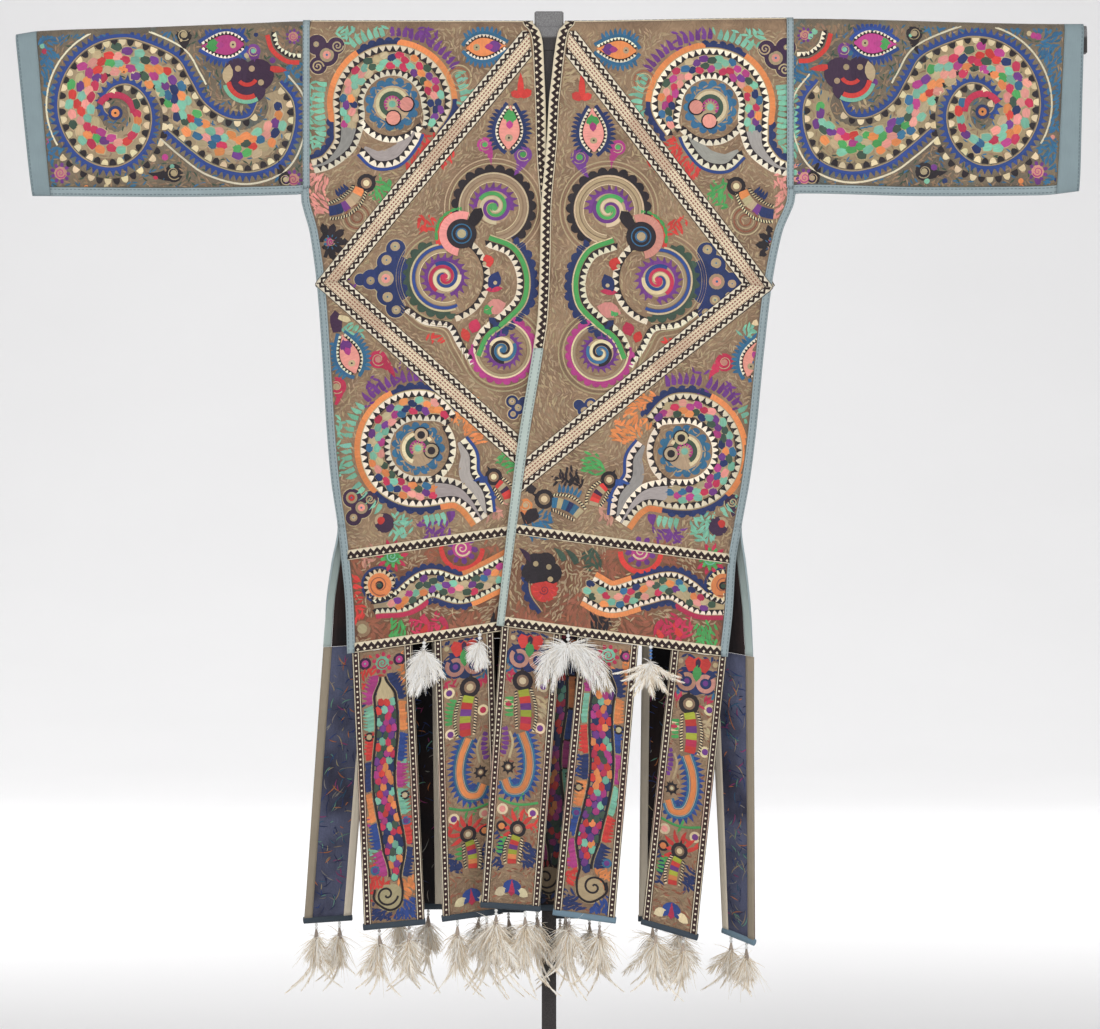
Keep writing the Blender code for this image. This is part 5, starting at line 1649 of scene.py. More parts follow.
def sleeve_motifs(canvas):
    """The sleeve, from the cuff at the left to the armhole: a great scaled serpent in an S."""
    centre = np.array((-0.566, 0.122))
    angles = (-200, -127, -60, 25, 90, 155, 210, 260, 305)
    reaches = (0.012, 0.029, 0.046, 0.057, 0.073, 0.080, 0.090, 0.099, 0.106)

    def spiral(angle, inner=0.0):
        reach = np.interp(angle, angles, reaches)
        reach = reach + (np.interp(angle - 360, angles, reaches) - reach) * inner
        turn = np.radians(angle)
        return centre + reach[:, None] * np.stack([np.cos(turn) * 0.92, np.sin(turn)], axis=-1)

    turns = np.linspace(-200, 300, 90)
    neck = (
        (-0.486, 0.046), (-0.466, 0.076), (-0.448, 0.106), (-0.420, 0.125), (-0.394, 0.125), (-0.383, 0.106)
    )
    top = curve_through([*spiral(turns)[::3], *neck])
    foot = [
        (-0.500, 0.146), (-0.471, 0.171), (-0.440, 0.192), (-0.393, 0.202), (-0.350, 0.186), (-0.331, 0.147),
        (-0.331, 0.107), (-0.350, 0.080),
    ]
    foot = curve_through(foot)
    middle = spiral(np.linspace(-20, 300, 60), 0.5)
    half = np.linalg.norm(spiral(np.linspace(-20, 300, 60)) - middle, axis=1)
    onward = (
        (-0.500, 0.083), (-0.479, 0.118), (-0.455, 0.146), (-0.420, 0.163), (-0.385, 0.163), (-0.360, 0.145),
        (-0.353, 0.118), (-0.360, 0.094),
    )
    body = evenly(curve_through([*middle[::4], *onward]), 0.003)[0]
    share = np.linspace(0, 1, len(body))
    wide = np.interp(share, np.linspace(0, 0.60, 60), half)
    wide = wide + (0.0285 - wide) * ramp(0.55, 0.66, share) - 0.0120 * ramp(0.86, 1.0, share)
    canvas.band(body, wide - 0.004, "tan", crown=0.0002, columns=5, lay="along")
    canvas.scales(body, wide - 0.0130, SCALE_COLOURS + ("green", "pink", "orange", "red"), size=0.0132)
    canvas.saw(top, -1)
    canvas.saw(foot, 1)
    canvas.beads(beside(top, 0.0050)[6:-3], 1)
    canvas.beads(beside(top, -0.0120)[14:100], -1)
    canvas.beads(beside(foot, -0.0050), -1)
    canvas.cord(beside(top, -0.0120)[int(len(top) * 0.42) : int(len(top) * 0.86)], "ivory", half=0.0012)
    canvas.cord(beside(foot, 0.0120), "ivory", half=0.0012)
    canvas.band(arc(centre, 0.0235, -150, 0), 0.0042, "crimson", base=0.0008)
    canvas.disc(centre, 0.0095, "navy", "orange", "black", base=0.0006)
    head = np.array((-0.392, 0.078))
    for dx, dy, radius in (
        (-0.014, -0.010, 0.018), (0.012, -0.006, 0.021), (-0.014, 0.012, 0.014), (0.006, 0.014, 0.016)
    ):
        canvas.discs([head + (dx, dy)], radius, "plum", base=0.0006, turn=20)
    canvas.band(arc(head + (-0.003, 0.000), 0.0290, 60, 165), 0.0028, "mint", base=0.0010)
    canvas.band(arc(head + (-0.003, 0.000), 0.0235, 62, 172), 0.0032, "red", base=0.0014)
    canvas.band(arc(head + (-0.002, -0.006), 0.013, 30, 140), 0.0026, "red", base=0.0016)
    canvas.discs(
        head + np.array([(-0.014, -0.014), (0.004, -0.014), (0.016, 0.004)]), 0.0040, "tan", base=0.0016
    )
    canvas.mark(head + (-0.030, 0.006), (0.2, -1.0), 0.028, 0.0070, "straw", "leaf", base=0.0013)
    canvas.mark(head + (0.028, -0.014), (1.0, 0.1), 0.024, 0.0060, "red", "flame")
    canvas.fish((-0.398, 0.032), (-1.0, 0.04), 0.056, "royal", ("magenta", "green"))
    canvas.curl((-0.386, 0.041), 0.0095, (0.2, 0.8), "purple", "mint")
    for x, drop, radius, aim in (
        (-0.477, 0.020, 0.011, (0.1, 1.0)), (-0.490, 0.200, 0.012, (-0.9, 0.3)),
        (-0.344, 0.208, 0.010, (-0.6, -0.8)),
    ):
        canvas.curl((x, drop), radius, aim, "black", "straw")
    canvas.toothed([(-0.362, 0.018), (-0.356, 0.036), (-0.340, 0.048), (-0.324, 0.050)], -1, 0.0052)
    canvas.band(
        [(-0.368, 0.020), (-0.361, 0.040), (-0.343, 0.054), (-0.326, 0.056)], 0.0030, "red", base=0.0003
    )
    for x, drop, radius in ((-0.638, 0.200, 0.013), (-0.334, 0.208, 0.012), (-0.334, 0.022, 0.010)):
        canvas.rosette((x, drop), radius, "purple", "rose", "magenta")
    outline = np.concatenate([body, top, foot])
    spots = canvas.rng.uniform((-0.668, 0.010), (-0.312, 0.226), (90, 2))
    spots = np.array([spot for spot in spots if np.linalg.norm(outline - spot, axis=1).min() > 0.019])
    sizes = canvas.rng.uniform(0.0030, 0.0048, len(spots))
    canvas.discs(spots, sizes, SCALE_COLOURS, base=0.0001, turn=9, mixed=True)
    edge = [(-0.655, drop, 0.020, "teal") for drop in np.arange(0.02, 0.22, 0.03)]
    edge += [(x, 0.010, 0.012, "teal") for x in np.arange(-0.64, -0.50, 0.02)]
    edge += [(x, 0.020, 0.03, "umber") for x in (-0.35, -0.43)]
    edge += [(-0.345, 0.215, 0.02, "teal"), (-0.33, 0.07, 0.02, "teal"), (-0.40, 0.105, 0.02, "tan")]
    canvas.ground((-0.672, 0.006), (-0.312, 0.230), 0.0050, ("bark", "umber", "moss", "bark", "teal"), edge)


def hem_serpent(canvas, points, tail):
    """A wave of scales that ends in a coiled tail."""
    path = curve_through(points)
    share = np.linspace(0, 1, len(path))
    half = 0.0040 + 0.0075 * ramp(0.0, 0.30, share)
    canvas.band(path, half, "tan", crown=0.0002, columns=5, lay="along")
    canvas.scales(path[8:], half[8:], SCALE_COLOURS + ("moss", "orange"), size=0.0108)
    for edge, colours in ((-1, ("navy", "navy", "orange")), (1, ("crimson", "navy", "orange"))):
        canvas.toothed(beside(path, edge * half), edge, 0.0060)
        canvas.scallops(
            beside(path, edge * (half + 0.0095)), edge, colours, size=0.0052, parts=3,
            smooth=("orange", "crimson"),
        )
    canvas.discs([tail], 0.0250, "navy", base=0.0001, turn=22)
    canvas.discs([tail], 0.0215, "cream", base=0.0004, turn=22)
    canvas.row(arc(tail, 0.0212, 360, 0), 0.0072, -1, 0.0052, 0.0028, "black", "tooth", base=0.0007, points=3)
    canvas.discs([tail], 0.0158, "orange", base=0.0008, turn=20)
    canvas.coil(tail, 0.0140, 60, 1, "rust", half=0.0007, base=0.0011)
    canvas.disc(tail, 0.0055, "black", "moss", base=0.0013)


CLOUD = ((0.0, 0.0, 0.50), (-0.48, 0.02, 0.33), (-0.84, 0.02, 0.20), (0.06, -0.52, 0.36), (0.32, -0.96, 0.32),
         (0.06, 0.52, 0.36), (0.32, 0.96, 0.32), (0.40, -0.34, 0.40), (0.40, 0.34, 0.40))
CLOUD_DISCS = ((0.0, 0.0, 0.24, "pink"), (0.02, -0.60, 0.15, "straw"), (0.30, -1.04, 0.14, "straw"),
               (0.06, 0.60, 0.15, "straw"), (0.34, 1.02, 0.13, "straw"), (-0.5, 0.06, 0.12, "straw"))
CORNER = ((-0.40, -0.40, 0.40), (0.36, -0.36, 0.34), (-0.34, 0.42, 0.34), (0.0, 0.0, 0.45), (0.10, -0.2, 0.3))
GLOWS = (
    (-0.322, 0.110, 0.034, "mint"), (-0.312, 0.150, 0.030, "mint"), (-0.262, 0.018, 0.016, "mint"),
    (-0.228, 0.012, 0.018, "mint"), (-0.170, 0.022, 0.022, "purple"), (-0.118, 0.088, 0.020, "mint"),
    (-0.128, 0.120, 0.020, "mint"), (-0.145, 0.168, 0.026, "red"), (-0.172, 0.188, 0.022, "red"),
    (-0.218, 0.224, 0.018, "green"), (-0.308, 0.205, 0.020, "pink"), (-0.302, 0.240, 0.018, "pink"),
    (-0.030, 0.060, 0.024, "tan"), (-0.160, 0.268, 0.014, "red"), (-0.148, 0.402, 0.022, "red"),
    (-0.022, 0.270, 0.016, "umber"), (-0.285, 0.535, 0.022, "mint"), (-0.280, 0.575, 0.022, "mint"),
    (-0.225, 0.488, 0.020, "purple"), (-0.185, 0.472, 0.020, "purple"), (-0.118, 0.505, 0.026, "orange"),
    (-0.094, 0.535, 0.020, "orange"), (-0.196, 0.660, 0.020, "mint"), (-0.148, 0.664, 0.020, "purple"),
    (-0.072, 0.636, 0.018, "rose"), (-0.052, 0.575, 0.016, "green"), (-0.262, 0.740, 0.026, "red"),
    (-0.240, 0.700, 0.014, "rose"), (-0.140, 0.700, 0.022, "rust"), (-0.080, 0.705, 0.022, "rust"),
    (-0.060, 0.782, 0.016, "black"), (-0.160, 0.790, 0.020, "crimson"), (-0.200, 0.800, 0.018, "green"),
    (-0.262, 0.775, 0.024, "red"), (-0.262, 0.715, 0.020, "rust"), (-0.030, 0.770, 0.024, "rust"),
    (-0.110, 0.795, 0.026, "rust"), (-0.225, 0.795, 0.020, "rust"), (0.030, 0.780, 0.026, "rust"),
    (-0.010, 0.800, 0.024, "rust"), (-0.050, 0.700, 0.014, "moss"), (-0.020, 0.600, 0.018, "black"),
    (0.020, 0.655, 0.020, "teal"), (-0.262, 0.340, 0.016, "purple"), (-0.258, 0.410, 0.018, "mint"),
    (-0.092, 0.470, 0.014, "tan"), (-0.232, 0.270, 0.012, "tan"),
)


def front_motifs(canvas, head_on_hem):
    """One half of the body, with its outer edge at the left: two commas outside the braid's
    diamond, a figure of three whorls inside it, and birds, clouds and flames between them."""
    canvas.cloud(
        (-0.290, 0.046), 0.033, CORNER, "plum", ((0.0, 0.0, 0.26, "pink"), (-0.42, -0.42, 0.10, "straw")),
        ((0.42, -0.36, 0.24, 1), (-0.36, 0.46, 0.24, -1)),
    )
    canvas.comma(
        (-0.2045, 0.1105), 0.0575, 34, ((-1.00, 0.62), (-1.10, 0.95), (-1.45, 1.30), (-1.80, 1.42)),
        ((-0.66, 1.02), (-0.34, 1.30), (0.10, 1.24), (0.42, 0.88), (0.54, 0.62)),
        ("navy", "orange", "orange", "navy", "orange", "orange", "navy", "navy"),
        (None, "mint", "purple", "purple", "mint", None, "mint", "mint", "mint"), ("pink",),
    )
    canvas.fish((-0.108, 0.037), (1.0, -0.06), 0.052, "teal", ("orange", "purple"))
    canvas.bird(
        (-0.238, 0.214), (-0.75, 0.55), 0.050, ("orange", "straw", "straw", "purple", "navy", "navy"), "navy",
        bend=-0.16, width=0.0115,
    )
    for angle in np.arange(0, 360, 36):
        aim = np.array((math.cos(math.radians(angle)), math.sin(math.radians(angle))))
        canvas.mark(np.array((-0.288, 0.290)) + aim * 0.006, aim, 0.020, 0.0062, "black", base=0.0002)
    canvas.rosette((-0.284, 0.290), 0.0100, "teal", "magenta", "straw")
    for x, drop, radius in ((-0.250, 0.258, 0.0150), (-0.118, 0.076, 0.0130)):
        canvas.echo(arc((x, drop), radius * 0.2, 0, 360), -1, radius * 0.27, 4, ("rust", "straw"))

    canvas.fish((-0.053, 0.170), (0.05, -1.0), 0.058, "navy", ("pink", "green"))
    canvas.curl((-0.084, 0.164), 0.0100, (0.6, 0.8), "magenta", "green")
    canvas.curl((-0.034, 0.177), 0.0120, (-0.1, 1.0), "purple", "green")
    canvas.mark((-0.037, 0.102), (0.0, -1.0), 0.036, 0.0060, "red", "flame")
    canvas.mark((-0.036, 0.100), (0.9, -0.5), 0.014, 0.0070, "red")
    canvas.mark((-0.038, 0.100), (-0.9, -0.4), 0.012, 0.0060, "red")
    canvas.whorl(
        (-0.072, 0.246), 0.0490, 170, 1, "black", 250, ("tan", "tan"), "purple", 190,
        ("green", "purple", "cream"),
    )
    canvas.whorl(
        (-0.136, 0.338), 0.0480, 80, 1, "moss", 170, ("royal", "tan"), "purple", 340,
        ("crimson", "royal", "cream"),
    )
    canvas.whorl(
        (-0.060, 0.432), 0.0400, -70, 1, "magenta", 260, ("tan",), "purple", 340, ("teal", "black", "cream")
    )
    body = [
        (-0.078, 0.286), (-0.046, 0.300), (-0.030, 0.332), (-0.033, 0.368), (-0.056, 0.394), (-0.080, 0.414),
        (-0.092, 0.440),
    ]
    body = curve_through(body)
    canvas.band(body, 0.0030, "green", base=0.0006, lay="along")
    canvas.cord(beside(body, -0.0040), "cream", half=0.0008)
    canvas.toothed(beside(body, 0.0050), 1)
    canvas.scallops(beside(body, -0.0085)[10:-12], -1, ("navy",), size=0.0070, parts=1)
    canvas.toothed([(-0.184, 0.376), (-0.160, 0.392), (-0.128, 0.398), (-0.112, 0.424), (-0.096, 0.448)], 1)
    canvas.echo(
        [(-0.190, 0.372), (-0.164, 0.396), (-0.134, 0.404), (-0.120, 0.428), (-0.104, 0.456)], 1, 0.0032, 3
    )
    canvas.toothed(arc((-0.136, 0.338), 0.052, -60, 75), -1)
    head = np.array((-0.1136, 0.281))
    canvas.band(arc(head, 0.0245, 100, 290), 0.0050, "pink", base=0.0009)
    canvas.mark(head + (0.012, -0.012), (0.5, -0.8), 0.024, 0.0100, "black", "petal", base=0.0010)
    canvas.discs([head], 0.0195, "black", base=0.0010, turn=22)
    canvas.disc(head, 0.0100, "teal", "straw", base=0.0013)
    canvas.cord(arc(head, 0.0125, 0, 360, 30), "teal", half=0.0008, base=0.0013)
    canvas.band(arc(head, 0.0330, 165, 270), 0.0022, "green", base=0.0003)
    canvas.row(arc(head, 0.0350, 165, 262), 0.0130, 1, 0.0085, 0.0070, "red", "dome", points=6)
    for x, drop, dx, dy, length, half, colour in (
        (-0.082, 0.308, 0.3, 1.0, 0.018, 0.0080, "red"), (-0.066, 0.330, -0.4, 1.0, 0.026, 0.0090, "navy"),
        (-0.060, 0.352, -1.0, 0.1, 0.024, 0.0042, "crimson"),
        (-0.056, 0.372, -1.0, 0.3, 0.030, 0.0105, "pink"),
        (-0.072, 0.376, -0.8, 0.5, 0.014, 0.0070, "green"),
        (-0.094, 0.392, -0.3, 1.0, 0.020, 0.0080, "crimson"),
        (-0.078, 0.390, 0.7, 0.7, 0.020, 0.0060, "navy"), (-0.112, 0.404, 0.4, 1.0, 0.018, 0.0060, "red"),
    ):
        canvas.mark((x, drop), (dx, dy), length, half, colour, "leaf")
    canvas.discs(np.array([(-0.070, 0.345), (-0.084, 0.320)]), 0.0026, "straw", base=0.0011)
    canvas.cloud((-0.212, 0.339), 0.040, CLOUD, "navy", CLOUD_DISCS)
    canvas.cloud(
        (-0.040, 0.507), 0.020, CORNER, "navy",
        ((0.0, 0.0, 0.2, "straw"), (-0.4, -0.4, 0.2, "straw"), (-0.34, 0.42, 0.15, "straw")),
    )

    canvas.comma(
        (-0.170, 0.560), 0.0560, -42, ((0.78, 0.98), (1.16, 1.20), (1.48, 1.66)),
        ((1.60, 1.50), (1.52, 1.02), (1.24, 0.60), (1.20, 0.16), (0.98, -0.16)),
        ("navy", "navy", "orange", "orange", "orange", "navy", "navy", "orange", "orange"),
        (None, "purple", "purple", "mint", "mint", "mint", None, "mint", "purple"), ("straw", "black"),
    )
    canvas.curl((-0.222, 0.444), 0.0120, (0.9, 0.5), "crimson", "rose")
    canvas.curl((-0.277, 0.479), 0.0130, (0.1, 1.0), "crimson", "straw")
    canvas.fish((-0.252, 0.462), (-0.35, -1.0), 0.054, "teal", ("pink", "purple"))
    canvas.mark((-0.276, 0.408), (-0.1, -1.0), 0.030, 0.0100, "plum")
    canvas.mark((-0.274, 0.388), (0.9, 0.3), 0.016, 0.0050, "cream", base=0.0009)
    canvas.bird(
        (-0.072, 0.597), (0.55, 0.90), 0.030, ("red", "straw", "plum", "red"), "royal", bend=-0.1,
        width=0.0105,
    )
    canvas.mark((-0.080, 0.600), (-0.9, 0.1), 0.018, 0.0060, "royal", "flame")
    canvas.cloud(
        (-0.244, 0.637), 0.031, CORNER, "plum",
        ((0.0, 0.0, 0.24, "pink"), (-0.42, -0.42, 0.22, "red"), (-0.34, 0.42, 0.14, "straw")),
        ((0.36, -0.36, 0.2, 1),),
    )
    canvas.discs([(-0.214, 0.657)], 0.0130, "plum", base=0.0003)
    canvas.disc((-0.218, 0.654), 0.0090, "straw", "red")

    if head_on_hem:
        canvas.bird(
            (0.012, 0.622), (-0.95, 0.42), 0.040, ("teal", "straw", "teal", "navy"), "teal", bend=0.1,
            width=0.0120,
        )
        canvas.mark((0.020, 0.640), (1.0, 0.35), 0.030, 0.0120, "black", base=0.0002)
        canvas.mark((0.024, 0.612), (0.9, -0.5), 0.022, 0.0080, "black", base=0.0002)
        canvas.curl((0.036, 0.630), 0.0090, (0.3, 1.0), "orange", "straw")
        wave = [
            (-0.228, 0.764), (-0.192, 0.757), (-0.155, 0.735), (-0.115, 0.742), (-0.075, 0.752),
            (-0.045, 0.738),
        ]
        hem_serpent(canvas, wave, (-0.220, 0.735))
        head = np.array((0.016, 0.716))
        canvas.flames(arc(head + (-0.004, 0.022), 0.0150, -10, 190), 1, 0.020, "red", pitch=0.0062)
        canvas.discs([head + (-0.004, 0.022)], 0.0180, "red", base=0.0003)
        lobes = head + np.array(
            [(0.0, -0.004), (0.012, 0.002), (-0.013, 0.002), (-0.006, -0.012), (0.008, -0.012)]
        )
        canvas.discs(lobes, (0.020, 0.014, 0.014, 0.013, 0.012), "black", base=0.0006)
        canvas.rosette(head + (-0.004, 0.024), 0.0120, "crimson", "magenta", "plum")
        canvas.discs(
            head + np.array([(-0.010, -0.006), (0.007, -0.010), (-0.012, 0.010)]), 0.0036, "tan", base=0.0014
        )
        canvas.scallops([(0.036, 0.712), (0.034, 0.745), (0.018, 0.770)], -1, ("navy",), parts=1)
        for x, drop in ((-0.030, 0.694), (-0.014, 0.690), (0.030, 0.692), (0.038, 0.790)):
            canvas.mark(
                (x, drop + 0.012), (0.3, -1.0), 0.022, 0.0056, ("moss", "plum")[x > 0], "flame", bend=0.4
            )
    else:
        wave = [
            (-0.228, 0.766), (-0.190, 0.757), (-0.155, 0.735), (-0.115, 0.744), (-0.080, 0.730),
            (-0.045, 0.712),
        ]
        hem_serpent(canvas, wave, (-0.220, 0.738))
    canvas.row(arc((-0.204, 0.700), 0.012, 360, 0), 0.0075, 1, 0.010, 0.0038, "crimson", "flame")
    canvas.rosette((-0.204, 0.700), 0.0150, "green", "green", "mint")
    canvas.band(arc((-0.113, 0.690), 0.0265, 0, 200), 0.0036, "red")
    canvas.rosette((-0.113, 0.690), 0.0200, "purple", "magenta", "cream")
    canvas.disc((-0.243, 0.795), 0.0110, "umber", "straw", base=0.0003)
    for x, drop in ((-0.166, 0.778), (-0.142, 0.780)):
        canvas.mark((x, drop), (0.9, 0.6), 0.020, 0.0056, "crimson", "flame", bend=0.5)
        canvas.mark((x, drop + 0.022), (0.9, -0.6), 0.018, 0.0050, "red", "flame", bend=-0.5)
    canvas.ground(
        (-0.318, 0.010), (0.052, 0.824), 0.0048, ("sand", "tan", "bark", "sand", "tan", "sand"), GLOWS
    )


def serpent_strip(canvas, length, colours, hand):
    """A long serpent down the strip, coiled at its foot, with flames in blocks on both sides."""
    low = length - 0.050
    t = np.linspace(0, 1, 70)
    wave = hand * 0.0050 * np.sin(t * np.pi * 2.6 + 0.4) * np.minimum(1, 3 * t)
    spine = np.stack([wave, 0.036 + (low - 0.044) * t], axis=-1)
    half = 0.0140 * (0.22 + 0.78 * ramp(0.0, 0.10, t)) * (1 - 0.50 * ramp(0.84, 1.0, t))
    canvas.band(spine, half, "tan", crown=0.0002, columns=4, lay="along")
    canvas.band(spine[:9], half[:9] * 0.8, "straw", base=0.0004, lay="along")
    canvas.scales(
        spine[9:], half[9:] * 0.92, ("crimson", "mint", "navy", "orange", "magenta", "moss", "purple", "red"),
        size=0.0105, rim="navy",
    )
    for edge in (-1, 1):
        rim = beside(spine, edge * half)
        canvas.band(rim, 0.0015, "black", base=0.0009, columns=3, lay="along")
        for i, block in enumerate(np.array_split(beside(spine, edge * (half + 0.0026)), 7)):
            colour = colours[(i + (edge > 0) * 3) % len(colours)]
            canvas.cord(block, "straw", half=0.0007)
            canvas.row(block, 0.0046, edge, 0.0150, 0.0031, colour, "flame", tilt=0.25, bend=0.3, base=0.0002)
            canvas.row(block, 0.0052, edge, 0.0080, 0.0034, colour, "block", points=3, tilt=0.2, base=0.0001)
    foot = np.array((-hand * 0.008, low + 0.014))
    canvas.discs([foot + (0.004 * hand, 0.004)], 0.0185, "straw", base=0.0003, turn=22)
    canvas.coil(foot, 0.0150, 10, hand, "black", half=0.0013, turns=1.4, base=0.0009)
    hook = [spine[-1] + (0.007 * hand, 0), (0.013 * hand, low + 0.010), (0.009 * hand, low + 0.028)]
    hook += [(-0.006 * hand, low + 0.034), foot + (-0.016 * hand, 0.006), foot + (-0.015 * hand, -0.008)]
    canvas.cord(hook, "black", half=0.0014, base=0.0009)
    canvas.rosette((0.0, 0.018), 0.0140, "crimson", "mint", "crimson")
    for side in (-1, 1):
        canvas.disc((side * 0.0225, 0.016), 0.0080, "plum", "magenta", "mint", base=0.0003)
        canvas.disc((side * 0.0215, low * 0.5 + side * hand * 0.04), 0.0062, "black", "straw", base=0.0006)
        canvas.disc((side * 0.0215, low * 0.84 - side * hand * 0.03), 0.0062, "teal", "purple", base=0.0006)
    return [
        (side * 0.022, drop, 0.022, colours[(i + side) % len(colours)])
        for i, drop in enumerate(np.arange(0.03, length, 0.045))
        for side in (-1, 1)
    ]


def bird_strip(canvas, length, hand, second):
    """A bud over two curls, a large bird with a hooked tail, and a small bird below."""
    for x, dx in ((-0.0060, -0.35), (0.0060, 0.35), (0.0, 0.0)):
        canvas.mark((x, 0.023), (dx, -1.0), 0.019, 0.0088, "red", base=0.0003)
    canvas.mark((0.0, 0.018), (0.0, -1.0), 0.012, 0.0040, "plum", base=0.0010)
    canvas.mark((0.0, 0.014), (0.0, 1.0), 0.022, 0.0060, "green", "leaf", base=0.0010)
    canvas.discs(
        np.array([(-0.0130, 0.036), (0.0130, 0.036), (0.0, 0.044)]), (0.0165, 0.0165, 0.010), "navy", turn=20
    )
    for side in (-1, 1):
        first = 180 if side < 0 else 0
        canvas.band(
            arc((side * 0.0120, 0.037), (0.0110, 0.0085), first - side * 40, first + side * 300, 40), 0.0027,
            "rose", base=0.0005,
        )
        canvas.disc((side * 0.0120, 0.037), 0.0062, "navy", "purple", base=0.0007)
        canvas.disc((side * 0.0225, 0.012), 0.0056, "umber", "straw", base=0.0003)
    canvas.bird(
        (hand * 0.0060, 0.066), (-hand * 0.12, 1.0), 0.052,
        ("lime", "red", "purple", "lime", "crimson", "red"), "green", bend=hand * 0.05, width=0.0125,
    )
    bends = (
        (0.002, 0.132), (-0.008, 0.155), (-0.011, 0.180), (-0.004, 0.203), (0.012, 0.207), (0.020, 0.194)
    )
    tail = curve_through([(hand * x, drop) for x, drop in bends])
    canvas.band(tail, 0.0085, "teal", base=0.0, lay="across")
    for edge in (-1, 1):
        canvas.row(
            beside(tail, edge * 0.0078), 0.0068, edge, 0.0090, 0.0034, "royal", "tooth", points=3, tilt=0.2
        )
        canvas.cord(beside(tail, edge * 0.0046), "straw", half=0.0007)
    canvas.band(tail, 0.0036, "orange", base=0.0008, lay="along")
    canvas.row(
        arc((hand * 0.0165, 0.178), 0.0062, 360, 0), 0.0048, 1, 0.0040, 0.0018, "black", "tooth", points=3
    )
    canvas.ringed((hand * 0.0165, 0.178), 0.0068, (hand * 0.4, -0.9))
    canvas.flames(
        [(hand * 0.021, 0.128), (hand * 0.018, 0.146), (hand * 0.022, 0.166)], -hand, 0.009, "purple",
        pitch=0.0060,
    )
    canvas.band(
        [(hand * 0.018, 0.132), (hand * 0.013, 0.146), (hand * 0.016, 0.166)], 0.0016, "straw", base=0.0003
    )
    for x, drop, colour in (
        (-0.021, 0.070, "purple"), (0.022, 0.098, "crimson"), (-0.021, 0.124, "purple"),
        (0.020, 0.232, "pink"), (-0.020, 0.234, "purple"),
    ):
        canvas.disc((x * hand, drop), 0.0072, "cream", colour, base=0.0001)
    canvas.band(
        [(-0.026, 0.219), (-0.008, 0.224), (0.008, 0.224), (0.026, 0.220)], 0.0016, "green", base=0.0003
    )
    centre = np.array((-hand * 0.002, 0.256))
    canvas.flames(arc(centre, 0.0110, 350, 120), 1, 0.016, "red", pitch=0.0062)
    canvas.bird(
        centre, (hand * second, 1.0), 0.036, ("lime", "red", "purple", "lime", "orange", "red"), "green",
        bend=-hand * 0.05, width=0.0100,
    )
    canvas.disc((hand * 0.0195, 0.254), 0.0072, "black", "orange")
    canvas.row(
        [(hand * 0.023, 0.262), (hand * 0.015, 0.280), (hand * 0.020, 0.302)], 0.0060, -hand, 0.0085, 0.0030,
        "navy", "tooth",
    )
    foot = length - 0.020
    for dx, colour in ((-0.5, "royal"), (0.5, "royal"), (0.0, "crimson")):
        canvas.mark((0.0, foot - 0.012), (dx, 1.0), 0.022, 0.0070, colour, "leaf", base=0.0006)
    for side in (-1, 1):
        canvas.mark((side * 0.006, foot), (side * 0.9, 0.5), 0.020, 0.0060, "cream", "leaf")
    return [
        (-0.022 * hand, 0.066, 0.012, "crimson"), (0.024 * hand, 0.056, 0.012, "crimson"),
        (-0.022 * hand, 0.095, 0.014, "straw"),
        (0.0, 0.008, 0.03, "navy"), (-0.024, 0.045, 0.012, "teal"), (0.024, 0.045, 0.012, "teal"),
        (-0.020 * hand, 0.244, 0.012, "red"), (-0.02, 0.29, 0.016, "navy"), (0.02, 0.29, 0.016, "navy"),
        (0.0, 0.222, 0.012, "green"),
    ]


def loose_threads(canvas, width, length):
    """The back of the embroidery: dark cloth with ends and loops of coloured thread."""
    count = int(length * 420)
    spots = canvas.rng.uniform((-width / 2 + 0.014, 0.02), (width / 2 - 0.014, length - 0.012), (count, 2))
    turn = canvas.rng.uniform(0, 2 * np.pi, count)
    aims = np.stack([np.cos(turn), np.sin(turn)], axis=-1)
    names = ("navy", "royal", "teal", "mint", "straw", "navy", "magenta", "royal", "orange", "grey")
    canvas.stamps(
        spots, aims, canvas.rng.uniform(0.004, 0.016, count), 0.0007, canvas.pick(names, count, True) * 0.6,
        "leaf",
        bend=canvas.rng.normal(0, 0.8, count), points=7, crown=0.0006,
    )


def add_strip_motifs():
    """The embroidery on each strip, on the side that faces out from the body."""
    schemes = (
        ("navy", "orange", "royal", "magenta", "mint", "red"),
        ("magenta", "purple", "teal", "orange", "royal", "red"),
    )
    for number, strip in enumerate(STRIP_TABLE):
        name, panel = strip[:2]
        place, width, length = strip_place(strip)
        # The threads of front_right_3 are darkened to 0.35 as painted shade, for it hangs in shadow behind
        # the other strips; the other strips' threads are scaled by 0.9
        canvas = Canvas(100 + number, light=0.35 if name == "front_right_3" else 0.9)
        hand = 1 if "right" in name else -1
        if name in (
            "front_right_1", "front_left_2", "front_right_3", "back_right_2", "back_left_2", "back_left_3"
        ):
            glow = serpent_strip(canvas, length, schemes[number % 2], hand)
        else:
            glow = bird_strip(canvas, length, hand, 0.10 if number % 2 else -0.08)
        limit = width / 2 - STRIP_TAPE + 0.001
        canvas.ground(
            (-limit, 0.002), (limit, length - 0.002), 0.0042, ("umber", "bark", "sand", "umber", "rust"), glow
        )

        def keep(across, down, limit=limit, length=length):
            return (abs(across) < limit) & (down > 0.001) & (down < length - 0.001)

        cloth = f"strip_{name}_cloth"
        canvas.build(f"embroidery_{name}", cloth, place, keep, "strip_silk")
        if panel == "back":
            inner = Canvas(200 + number)
            loose_threads(inner, width, length)
            inner.build(f"threads_{name}", cloth, place, keep, "dark_lining", side=-1)


